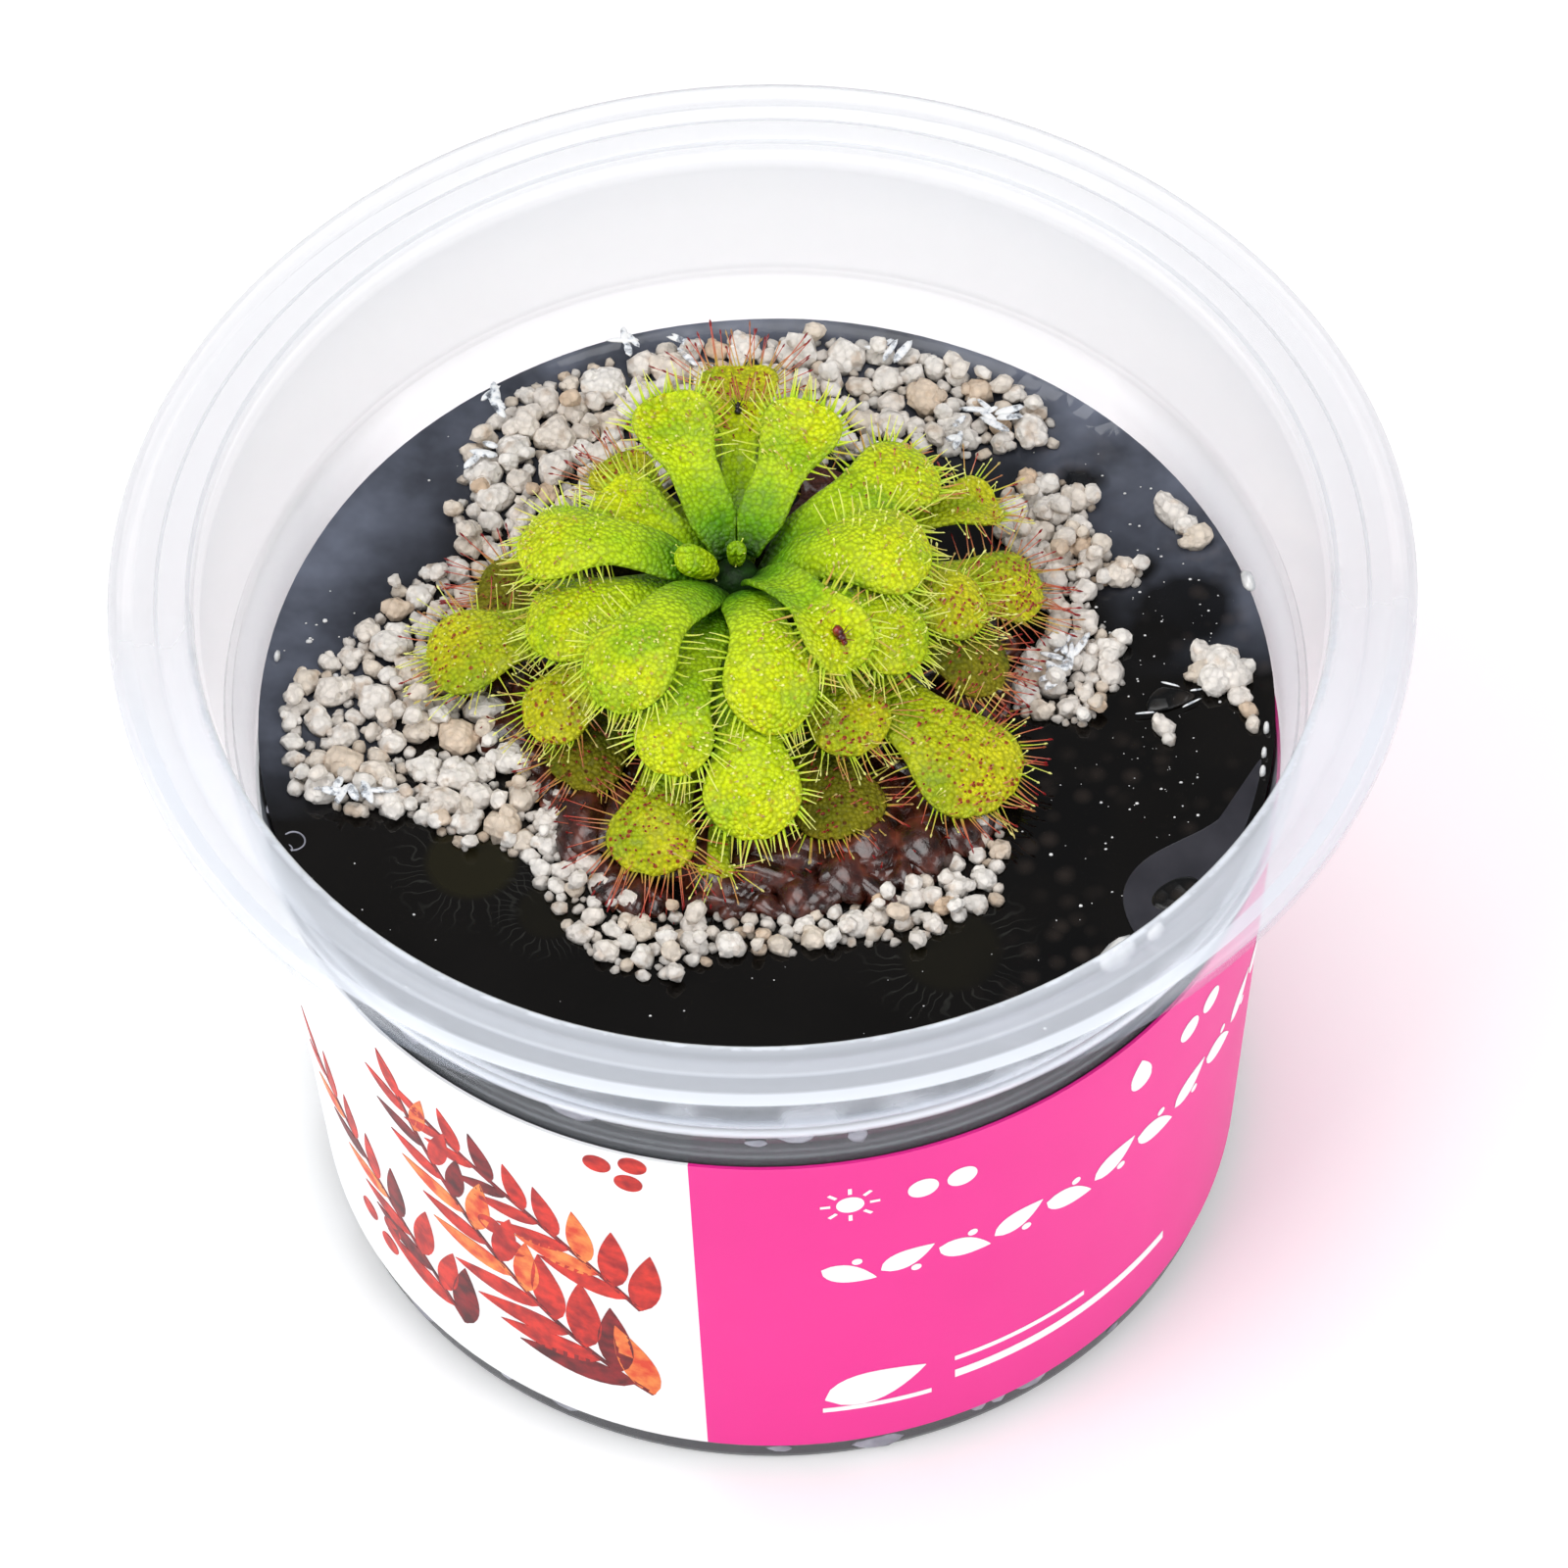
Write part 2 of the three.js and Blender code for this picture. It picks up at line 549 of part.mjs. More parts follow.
// Grains packed in a jittered honeycomb inside an outline and clear of the wall.
function bedGrains(outline, seed) {
  const random = makeRandom(seed);
  const grains = [];
  const rowHeight = GRAIN_PITCH * Math.sqrt(3) / 2;
  const reach = STEP_RADIUS - PERLITE_WALL_MARGIN;
  const rows = 20;
  for (let row = -rows; row <= rows; row += 1) {
    for (let column = -rows; column <= rows; column += 1) {
      const x = (column + (row % 2 ? 0.5 : 0)) * GRAIN_PITCH + GRAIN_JITTER * (random() - 0.5);
      const y = row * rowHeight + GRAIN_JITTER * (random() - 0.5);
      const radius = GRAIN_RADIUS + GRAIN_SPREAD * (random() - 0.3);
      if (insideOutline(outline, x, y) && Math.hypot(x, y) < reach) {
        grains.push(grainSolid(x, y, radius, random));
      }
    }
  }
  return grains;
}

function clumpGrains(clump, seed) {
  const random = makeRandom(seed);
  return Array.from({ length: clump.grains }, (_, i) => {
    const angle = 2 * Math.PI * i / clump.grains + random();
    const x = clump.x + clump.spread * Math.cos(angle) * 0.8;
    const y = clump.y + clump.spread * Math.sin(angle);
    return grainSolid(x, y, clump.radius, random);
  });
}

// The grains that touch no leaf, joined in one body that lies just clear of the gel.
function bedSolid(grains, taken) {
  const free = grains.filter((grain) => !touches(grain, taken));
  const under = new THREE.BoxGeometry(2 * RIM_RADIUS, 2 * RIM_RADIUS, GEL_TOP);
  under.translate(0, 0, PERLITE_GAP + GEL_TOP / 2);
  const joined = wasm.Manifold.union(free).subtract(toSolid(under));
  const pieces = joined.decompose();
  return pieces.reduce((largest, piece) => (piece.volume() > largest.volume() ? piece : largest));
}

// ---------------------------------------------------------------- assembly

const gel = gelSolid();
const crown = crownSolid();
addNode('cup', cupGeometry(), COLOURS.cup, 0.25);
addNode('label', labelGeometry(), COLOURS.label, 0.5);
addNode('gel', toGeometry(gel), COLOURS.gel, 0.08);
addNode('crown', toGeometry(crown), COLOURS.crown, 0.5);

const buds = BUDS.map(budSolid);
BUDS.forEach(({ name }, number) => {
  addNode(name, toGeometry(buds[number]), COLOURS.young, 0.45);
});

const leaves = placeBlades([...DEAD_LEAVES, ...LEAVES], buds);

const grains = {
  perlite_bed: bedGrains(BED_OUTLINE, SEEDS.bed),
  perlite_patch: bedGrains(PATCH_OUTLINE, SEEDS.patch),
};
CLUMPS.forEach((clump, number) => {
  grains[clump.name] = clumpGrains(clump, SEEDS.clumps + number);
});
const blades = leaves.map((item) => item.solid);
const beds = [];
for (const [name, loose] of Object.entries(grains)) {
  const bed = bedSolid(loose, blades);
  addNode(name, toGeometry(bed), COLOURS.perlite, 0.9);
  beds.push(bed);
}

growTentacles(leaves, [gel, crown, ...buds, ...beds]);
for (const { leaf, solid } of leaves) {
  addNode(leaf.name, toGeometry(solid), COLOURS[leaf.age], 0.45);
}

export default part;
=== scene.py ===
"""A sundew that grows in black gel in a clear round cup, with perlite strewn round it and a printed sleeve.

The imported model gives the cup, sleeve, gel, stem, leaves and perlite at their real places. Here each plain node
is replaced by a finer piece in the same place. Blender works in metres, and MM turns millimetres into them.
"""
import math
import random
from collections import namedtuple

import bmesh
import bpy
from mathutils import Matrix, Vector, noise
from mathutils.bvhtree import BVHTree


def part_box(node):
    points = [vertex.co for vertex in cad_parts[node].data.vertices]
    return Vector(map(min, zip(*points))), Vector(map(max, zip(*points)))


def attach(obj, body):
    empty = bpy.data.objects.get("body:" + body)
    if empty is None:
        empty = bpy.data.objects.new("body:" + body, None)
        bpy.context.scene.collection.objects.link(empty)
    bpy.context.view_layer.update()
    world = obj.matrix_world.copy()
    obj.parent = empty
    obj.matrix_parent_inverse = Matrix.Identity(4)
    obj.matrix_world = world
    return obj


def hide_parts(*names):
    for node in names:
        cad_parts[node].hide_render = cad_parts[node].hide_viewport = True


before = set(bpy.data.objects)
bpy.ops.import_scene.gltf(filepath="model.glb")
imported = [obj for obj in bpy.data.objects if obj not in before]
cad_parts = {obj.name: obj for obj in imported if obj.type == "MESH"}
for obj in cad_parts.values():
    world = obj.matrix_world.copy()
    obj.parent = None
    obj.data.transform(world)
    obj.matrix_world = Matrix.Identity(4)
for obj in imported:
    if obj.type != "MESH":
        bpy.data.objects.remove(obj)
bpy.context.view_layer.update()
MM = 0.001

# ---------------------------------------------------------------- camera, table and light
# The cup stands on a white table and is looked down on from the front through a long lens. Two large soft boxes
# stand in front and one hangs above, and the surround is dim, so that wet surfaces stay dark where they mirror it.
CAMERA_TARGET = Vector((1.185, 0, 41.052)) * MM
CAMERA_DISTANCE = 1.0
CAMERA_RISE = math.radians(52.852)
CAMERA_ROLL = math.radians(-1.922)
camera_data = bpy.data.cameras.new("camera")
camera_data.lens = 291.9
camera = bpy.data.objects.new("camera", camera_data)
bpy.context.scene.collection.objects.link(camera)
towards_camera = Vector((0, -math.cos(CAMERA_RISE), math.sin(CAMERA_RISE)))
camera.location = CAMERA_TARGET + towards_camera * CAMERA_DISTANCE
level_view = towards_camera.to_track_quat("Z", "Y").to_matrix()
camera.rotation_euler = (level_view @ Matrix.Rotation(CAMERA_ROLL, 3, "Z")).to_euler()
bpy.context.scene.camera = camera
bpy.context.scene.view_settings.view_transform = "Standard"


def new_finish(name, **plain):
    """A material whose Principled shader has these plain values, such as Roughness=0.5."""
    finish = bpy.data.materials.new(name)
    finish.use_nodes = True
    shader = finish.node_tree.nodes["Principled BSDF"]
    for socket, value in plain.items():
        shader.inputs[socket.replace("_", " ")].default_value = value
    return finish


def add_node(kind, inputs, tree=None, **settings):
    """Adds a shader node and gives its outputs. Its inputs are plain values or outputs of nodes in the same tree."""
    tree = tree or next(value.id_data for value in inputs.values() if isinstance(value, bpy.types.NodeSocket))
    node = tree.nodes.new("ShaderNode" + kind)
    for setting, value in settings.items():
        setattr(node, setting, value)
    for socket, value in inputs.items():
        if isinstance(value, bpy.types.NodeSocket):
            tree.links.new(value, node.inputs[socket])
        else:
            node.inputs[socket].default_value = value
    return node.outputs


def feed(socket, output):
    """Joins a node's output to the Principled shader of its material."""
    tree = output.id_data
    tree.links.new(output, tree.nodes["Principled BSDF"].inputs[socket])


def bump(height, strength, depth):
    """Raises a material's surface by a height between 0 and 1, times a depth in millimetres."""
    feed("Normal", add_node("Bump", {"Height": height, "Strength": strength, "Distance": depth * MM})["Normal"])


def object_place(finish):
    """The place on the object in metres, as a vector and split into X, Y and Z."""
    here = add_node("TexCoord", {}, finish.node_tree)["Object"]
    return here, add_node("SeparateXYZ", {"Vector": here})


def noise_at(here, scale, detail=3):
    """Soft noise from 0 to 1, with lumps of about 1 / scale metres."""
    return add_node("TexNoise", {"Vector": here, "Scale": scale, "Detail": detail})["Fac"]


def colour(value):
    """A node's colour from a tuple of three, or from a plain number, which stands for a grey."""
    if isinstance(value, (int, float)):
        return value, value, value, 1
    return (*value, 1) if isinstance(value, tuple) else value


def ramp(factor, *stops):
    """A colour ramp through (place, colour) stops."""
    shade = add_node("ValToRGB", {"Fac": factor})["Color"]
    elements = shade.node.color_ramp.elements
    while len(elements) < len(stops):
        elements.new(0.5)
    for element, (stop, value) in zip(elements, stops):
        element.position = stop
        element.color = colour(value)
    return shade


TABLE_WHITE = colour(0.88)
bpy.ops.mesh.primitive_plane_add(size=4)
table = bpy.context.object
table.name = "table"
table_finish = new_finish("table_white", Base_Color=TABLE_WHITE, Roughness=0.7, Emission_Color=TABLE_WHITE,
                          Emission_Strength=0.25)
bump(noise_at(object_place(table_finish)[0], 300), 0.02, 1)
table.data.materials.append(table_finish)

surround = bpy.data.worlds.new("surround")
surround.use_nodes = True
way = add_node("TexCoord", {}, surround.node_tree)["Generated"]
rise = add_node("SeparateXYZ", {"Vector": way})["Z"]
dome_shade = ramp(rise, (0.1, (0.84, 0.87, 0.9)), (0.45, (0.2, 0.21, 0.225)))
surround.node_tree.links.new(dome_shade, surround.node_tree.nodes["Background"].inputs["Color"])
bpy.context.scene.world = surround

# Each soft box: where it stands in metres, its size and its power.
SOFT_BOXES = {
    "box_left": ((-0.9, -0.55, 0.8), 0.9, 9.0),
    "box_right": ((0.9, -0.6, 0.75), 0.9, 7.4),
    "box_above": ((-0.1, 0.1, 1.3), 0.8, 8.1),
}
for name, (stand, size, power) in SOFT_BOXES.items():
    light = bpy.data.lights.new(name, "AREA")
    light.size = size
    light.energy = power
    lamp = bpy.data.objects.new(name, light)
    lamp.location = stand
    lamp.rotation_euler = (Vector(stand) - CAMERA_TARGET).to_track_quat("Z", "Y").to_euler()
    bpy.context.scene.collection.objects.link(lamp)

# ---------------------------------------------------------------- the cup
# One thermoformed shell of clear polypropylene: a cone, a belt, a stacking step, the upper wall and a broad rim
# with a crease and a turned-down lip. It is a disc whose edge is drawn up through rings, outside and then inside.
CUP_SIDES = 160
BASE_RADIUS = 36.3
CONE_TOP_RADIUS = 39.8
CONE_TOP = 45.6
RIM_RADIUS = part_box("cup")[1].x / MM
CUP_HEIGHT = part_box("cup")[1].z / MM
CUP_OUTSIDE = [
    (35, 0), (35.8, 0.1), (36.2, 0.45), (36.4, 1.1), (CONE_TOP_RADIUS, CONE_TOP), (40.6, 50.4), (40.9, 51.1),
    (41.6, 51.6), (42.1, 52.1), (42.25, 52.8), (42.25, 53.5), (42.05, 54.1), (42.1, 54.7), (44.1, 64.6),
    (44.4, 65.4), (45.1, 65.9), (48.6, 66), (49.2, 65.6), (49.5, 65), (49.9, 64.8), (50.3, 65),
    (RIM_RADIUS, 65.5), (RIM_RADIUS, 66.4), (RIM_RADIUS - 0.3, CUP_HEIGHT - 0.1), (RIM_RADIUS - 0.8, CUP_HEIGHT),
]
CUP_INSIDE = [
    (48.4, CUP_HEIGHT - 0.1), (47.3, CUP_HEIGHT - 0.15), (47, CUP_HEIGHT - 0.4), (46.7, CUP_HEIGHT - 0.42),
    (46.4, CUP_HEIGHT - 0.2), (45.7, CUP_HEIGHT - 0.05), (44.9, CUP_HEIGHT), (44.3, CUP_HEIGHT - 0.1),
    (43.9, CUP_HEIGHT - 0.5), (43.6, CUP_HEIGHT - 1.4), (43.4, CUP_HEIGHT - 2.4), (41.5, 54.6), (41.45, 54.1),
    (41.6, 53.5), (41.6, 52.7), (41.3, 52.2), (40.6, 51.8), (40.3, 51.3), (40.05, 50.6), (39.2, CONE_TOP),
    (35.85, 1.7), (35.5, 1.1), (34.8, 0.9), (1, 0.9),
]


def new_piece(name, add, **settings):
    """Names what one of Blender's operators adds, and gives it."""
    add(**settings)
    piece = bpy.context.object
    piece.name = piece.data.name = name
    return piece


def face_outwards():
    """Turns all faces of the piece in edit mode outwards, and leaves edit mode."""
    bpy.ops.mesh.select_all(action="SELECT")
    bpy.ops.mesh.normals_make_consistent(inside=False)
    bpy.ops.object.mode_set(mode="OBJECT")


def turn_shell(name, rings, sides):
    """A closed turned piece. rings are its (radius, height) pairs in millimetres, from the base disc onwards."""
    radius, height = rings[0]
    piece = new_piece(name, bpy.ops.mesh.primitive_circle_add, vertices=sides, radius=radius * MM,
                      fill_type="NGON", location=(0, 0, height * MM))
    bpy.ops.object.transform_apply()
    bpy.ops.object.mode_set(mode="EDIT")
    bpy.ops.mesh.select_mode(type="EDGE")
    bpy.ops.mesh.select_all(action="SELECT")
    bpy.ops.mesh.region_to_loop()
    for (before, low), (after, high) in zip(rings, rings[1:]):
        bpy.ops.mesh.extrude_edges_move(TRANSFORM_OT_translate={"value": (0, 0, (high - low) * MM)})
        bpy.ops.transform.resize(value=(after / before, after / before, 1))
    bpy.ops.mesh.edge_face_add()
    face_outwards()
    bpy.ops.object.shade_smooth_by_angle(angle=math.radians(50))
    return piece


def install(piece, finish, slot, *nodes):
    """Gives a finished piece its material and its place in the frame, instead of the plain nodes it stands for."""
    piece.data.materials.clear()
    piece.data.materials.append(finish)
    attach(piece, "root")
    if nodes:
        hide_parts(*nodes)


def from_axis_length(x, y):
    """How far a place lies from the cup's axis."""
    return add_node("VectorMath", {0: add_node("CombineXYZ", {"X": x, "Y": y})["Vector"]}, operation="LENGTH")["Value"]


def share(value, low, high):
    """How far a value in metres lies between low and high millimetres, from 0 to 1."""
    return add_node("MapRange", {"Value": value, "From Min": low * MM, "From Max": high * MM})["Result"]


def work_out(operation, *values):
    """The result of one sum, such as ADD."""
    return add_node("Math", dict(enumerate(values)), operation=operation)["Value"]


def mix(factor, first, second, blend="MIX"):
    """Two colours mixed by a factor."""
    inputs = {"Fac": factor, "Color1": colour(first), "Color2": colour(second)}
    return add_node("MixRGB", inputs, blend_type=blend)["Color"]


def times(product, *others):
    """Colours or values multiplied."""
    for other in others:
        product = mix(1, product, other, "MULTIPLY")
    return product


# Clear plastic is a film with a share of white haze: faint where gel wets the wall, more in the free upper wall
# and most in the step, the crease and the lip, where it is thick. The gel darkens the foot of the wall.
clear_plastic = new_finish("clear_plastic", IOR=1.49)
here, (x, y, z) = object_place(clear_plastic)
up_cup = share(z, 0, CUP_HEIGHT)
haze_in_front = ramp(
    up_cup,
    (0, 0.72), (0.042, 0.72), (0.045, 0.05), (0.62, 0.09), (0.69, 0.08), (0.697, 0.22), (0.704, 0.08), (0.748, 0.06),
    (0.764, 0.2), (0.778, 0.45), (0.785, 0.8), (0.791, 0.8), (0.797, 0.42), (0.803, 0.16), (0.815, 0.08), (0.9, 0.15),
    (1, 0.24),
)
haze_behind = ramp(
    up_cup,
    (0, 0.72), (0.042, 0.72), (0.045, 0.05), (0.7, 0.06), (0.75, 0.08), (0.8, 0.14), (0.803, 0.25), (0.81, 0.25),
    (0.814, 0.18), (1, 0.23),
)
# The haze differs by side as painted light: the step and the inner lip are hazier at the front, which faces the lamps,
# than behind.
in_front = share(y, 0, -16)
haze_up = mix(in_front, haze_behind, haze_in_front)
above_step = ramp(share(z, 53, 57), (0, 0), (0.2, 0.6), (0.45, 0.6), (1, 0))
splashes = ramp(noise_at(here, 190, 2), (0.54, 0), (0.66, 1))
haze_up = mix(times(splashes, above_step, in_front), haze_up, 0.5)
# At both sides the step is seen along its length, as a blue-grey band beside the gel.
at_side = share(work_out("ABSOLUTE", x), 28, 36)
side_haze = ramp(share(z, 47, 62), (0, 0.1), (0.08, 0.3), (0.46, 0.3), (0.5, 0.14), (1, 0.12))
haze_up = mix(at_side, haze_up, side_haze, "LIGHTEN")
out = share(from_axis_length(x, y), 43.5, RIM_RADIUS)
haze_out_in_front = ramp(
    out,
    (0, 0.25), (0.05, 0.5), (0.08, 0.95), (0.12, 0.85), (0.16, 0.62), (0.24, 0.42), (0.32, 0.33), (0.43, 0.36),
    (0.455, 0.5), (0.48, 0.5), (0.5, 0.42), (0.7, 0.36), (0.72, 0.5), (0.745, 0.85), (0.885, 0.85), (0.905, 0.14),
    (1, 0.1),
)
haze_out_behind = ramp(
    out,
    (0, 0.3), (0.09, 0.35), (0.1, 0.55), (0.125, 0.55), (0.15, 0.3), (0.44, 0.3), (0.455, 0.5), (0.48, 0.5),
    (0.5, 0.3), (0.7, 0.3), (0.745, 0.18), (0.885, 0.18), (0.905, 0.36), (0.97, 0.36), (1, 0.6),
)
haze_out = mix(in_front, haze_out_behind, haze_out_in_front)
inner_lip = ramp(out, (0.04, 0), (0.07, 1), (0.13, 1), (0.18, 0))
sparkle = ramp(noise_at(here, 480), (0.46, 0), (0.56, 1))
haze_out = mix(times(inner_lip, sparkle, in_front), haze_out, 1)
at_front_corners = times(at_side, in_front)
haze_out = mix(at_front_corners, haze_out, 0.55, "LIGHTEN")
UNDER_RIM_HAZE = 0.09
on_top = share(z, 66.2, 66.5)
on_rim = share(z, 64.6, 65.2)
feed("Alpha", mix(on_rim, haze_up, mix(on_top, UNDER_RIM_HAZE, haze_out)))
PLASTIC_PALE = (0.85, 0.885, 0.955)
PLASTIC_GREY = (0.6, 0.66, 0.77)
PLASTIC_OVER_GEL = (0.03, 0.029, 0.038)
plastic_shade = ramp(
    up_cup,
    (0, PLASTIC_OVER_GEL), (0.042, PLASTIC_OVER_GEL), (0.05, PLASTIC_PALE), (0.74, PLASTIC_PALE), (0.755, PLASTIC_GREY),
    (0.778, PLASTIC_PALE), (0.9, PLASTIC_PALE), (0.97, PLASTIC_GREY), (0.988, PLASTIC_GREY), (0.993, PLASTIC_PALE),
    (1, PLASTIC_PALE),
)
# Painted shade: the back of the cup is coloured darker, and the front corners near the lamps a little darker, so the
# pale plastic stays grey against the white table.
plastic_shade = times(plastic_shade, ramp(in_front, (0, 0.57), (1, 1)))
feed("Base Color", mix(at_front_corners, plastic_shade, 0.84, "MULTIPLY"))
feed("Roughness", ramp(noise_at(here, 500, 1), (0.35, 0.14), (0.7, 0.26)))

install(turn_shell("cup_shell", CUP_OUTSIDE + CUP_INSIDE, CUP_SIDES), clear_plastic, "clear_plastic", "cup")

# ---------------------------------------------------------------- the printed sleeve
# A thin coated-paper sleeve round the cone, white on the left of the front and magenta on the rest. It is an open
# cone with a little thickness, and what is printed on it lies on it as films of ink.
LABEL_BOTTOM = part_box("label")[0].z / MM
LABEL_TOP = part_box("label")[1].z / MM
LABEL_GAP = 0.15
LABEL_THICKNESS = 0.25
WHITE_FROM = math.radians(-128)
WHITE_TO = math.radians(-10.3)


def cone_radius(height):
    """The cup's outer radius on its cone, in millimetres."""
    return BASE_RADIUS + (CONE_TOP_RADIUS - BASE_RADIUS) * height / CONE_TOP


def solidify(piece, thickness, offset):
    """Gives a sheet its thickness for good."""
    bpy.context.view_layer.objects.active = piece
    wall = piece.modifiers.new("wall", "SOLIDIFY")
    wall.thickness = thickness * MM
    wall.offset = offset
    bpy.ops.object.modifier_apply(modifier=wall.name)


label_print = new_finish("label_print", Roughness=0.4, Specular_IOR_Level=0.2)
here, (x, y, z) = object_place(label_print)
turn = work_out("ARCTAN2", x, work_out("MULTIPLY", y, -1))
white_panel = work_out("MULTIPLY", work_out("LESS_THAN", turn, WHITE_TO), work_out("GREATER_THAN", turn, WHITE_FROM))
LABEL_WHITE = 0.92
magenta = ramp(noise_at(here, 60), (0.3, (0.8, 0.02, 0.27)), (0.7, (0.84, 0.025, 0.29)))
feed("Base Color", mix(white_panel, magenta, LABEL_WHITE))
bump(noise_at(here, 1200, 2), 0.04, 0.1)

sleeve = new_piece(
    "label_sleeve", bpy.ops.mesh.primitive_cone_add, vertices=CUP_SIDES, end_fill_type="NOTHING",
    depth=(LABEL_TOP - LABEL_BOTTOM) * MM, radius1=(cone_radius(LABEL_BOTTOM) + LABEL_GAP) * MM,
    radius2=(cone_radius(LABEL_TOP) + LABEL_GAP) * MM, location=(0, 0, (LABEL_TOP + LABEL_BOTTOM) / 2 * MM),
)
bpy.ops.object.transform_apply()
solidify(sleeve, LABEL_THICKNESS, 1)
bpy.ops.object.shade_smooth_by_angle(angle=math.radians(40))
install(sleeve, label_print, "label_print", "label")


def mottled(name, scale, *shades, detail=3, **plain):
    """A material whose colour runs through shades with soft noise, and that noise."""
    finish = new_finish(name, **plain)
    cloud = noise_at(object_place(finish)[0], scale, detail)
    feed("Base Color", ramp(cloud, *shades))
    return finish, cloud


# Films of ink: plain signs, rules and dots in white on the magenta, and a leafy spray with berries on the white.
# Each is drawn flat, in millimetres round the sleeve and up it, given a thickness and wrapped on the cone.
INK_THICKNESS = 0.04
INK_SHADES = {
    "white": ((0.9, 0.9, 0.9), (0.95, 0.95, 0.95)),
    "maroon": ((0.07, 0.003, 0.006), (0.28, 0.008, 0.012)),
    "red": ((0.32, 0.006, 0.008), (0.72, 0.03, 0.015)),
    "orange": ((0.7, 0.05, 0.015), (0.85, 0.28, 0.06)),
}
inks = {
    ink: mottled(f"ink_{ink}", 700, (0.35, dark), (0.65, pale), Roughness=0.4, Specular_IOR_Level=0.2)[0]
    for ink, (dark, pale) in INK_SHADES.items()
}


def print_ink(name, shapes, ink):
    """Joins flat shapes drawn round (x) and up (y) the sleeve, and wraps them on it as one film of ink."""
    bpy.ops.object.select_all(action="DESELECT")
    for shape in shapes:
        shape.select_set(True)
    film = shapes[0]
    bpy.context.view_layer.objects.active = film
    bpy.ops.object.join()
    film.name = film.data.name = name
    bpy.ops.object.transform_apply()
    solidify(film, INK_THICKNESS, 1)
    for vertex in film.data.vertices:
        along, height, lift = vertex.co / MM
        ring = cone_radius(height) + LABEL_GAP + LABEL_THICKNESS
        angle = along / ring
        reach = ring + 0.01 + lift
        vertex.co = Vector((reach * math.sin(angle), -reach * math.cos(angle), height)) * MM
    bpy.ops.object.mode_set(mode="EDIT")
    face_outwards()
    install(film, inks[ink], "label_print")


def flat_dot(x, y, radius):
    """A round dot."""
    bpy.ops.mesh.primitive_circle_add(vertices=32, radius=radius * MM, fill_type="TRIFAN", location=(x * MM, y * MM, 0))
    return bpy.context.object


def flat_strip(x, y, length, width, turn, steps, rows):
    """A straight strip from a point, in steps short enough to follow the sleeve."""
    bpy.ops.mesh.primitive_grid_add(x_subdivisions=steps, y_subdivisions=rows, size=MM)
    strip = bpy.context.object
    strip.scale = (length, width, 1)
    strip.rotation_euler.z = turn
    strip.location = Vector((x + math.cos(turn) * length / 2, y + math.sin(turn) * length / 2, 0)) * MM
    return strip


def flat_bar(x, y, length, width, turn=0):
    """A plain rule from a point."""
    return flat_strip(x, y, length, width, turn, max(1, round(length)), 1)


def flat_leaf(x, y, length, width, turn):
    """A pointed leaf that grows from a point."""
    blade = flat_strip(x, y, length, width, turn, 10, 2)
    for vertex in blade.data.vertices:
        along = min(1, max(0, vertex.co.x / MM + 0.5))
        vertex.co.y *= max(0, math.sin(math.pi * along ** 0.75)) ** 0.9 + 0.02
    return blade


def row_of_leaves(x, y, length, step, leaf_length):
    """A garland along a straight line: leaves that lean up and down in turn, with a dot between each two."""
    shapes = []
    for number in range(int(length / step)):
        side = 1 if number % 2 else -1
        foot = x + number * step
        shapes.append(flat_leaf(foot, y - side * 0.6, leaf_length, leaf_length * 0.5, side * 0.45))
        shapes.append(flat_dot(foot + 0.6 * step, y - side * 1.3, 0.42))
    return shapes


SUN_X, SUN_Y = 5.2, 39.2
RAY_FOOT = 1.55
sun = [flat_dot(SUN_X, SUN_Y, 1.1)]
for ray in range(8):
    turn = ray * math.pi / 4
    sun.append(flat_bar(SUN_X + RAY_FOOT * math.cos(turn), SUN_Y + RAY_FOOT * math.sin(turn), 0.8, 0.3, turn))
print_ink("label_sun", sun, "white")
print_ink("label_drop", [flat_dot(31.2, 38.6, 1.15), flat_leaf(31.2, 37.5, 4, 2.3, math.pi / 2)], "white")
SIGN_DOTS = [(11, 39.5), (14.2, 39.5), (37.3, 38.7), (40.5, 38.9)]
print_ink("label_dots", [flat_dot(x, y, 1.25) for x, y in SIGN_DOTS], "white")
print_ink("label_garland", row_of_leaves(2.8, 29.2, 52, 4.7, 4.8), "white")
print_ink("label_rule", [flat_bar(13.4, 9.6, 21.5, 1.1), flat_bar(13.4, 12, 12, 0.6)], "white")
print_ink("label_leaf_sign", [flat_leaf(2.8, 9.8, 8.6, 4.4, 0.32), flat_bar(2.6, 8.2, 8.8, 0.6)], "white")

# At the back the sleeve carries lines of small print, drawn as plain rules under a garland.
BACK_RULES = [(34, 34), (31.4, 37), (28.8, 31), (26.2, 36), (23.6, 35), (21, 18), (15.4, 30), (12.8, 24)]
BACK_LEFT = 100
print_ink("label_back_rules", [flat_bar(BACK_LEFT, y, length, 0.8) for y, length in BACK_RULES], "white")
print_ink("label_back_garland", row_of_leaves(BACK_LEFT, 39, 38, 4.7, 3.6), "white")

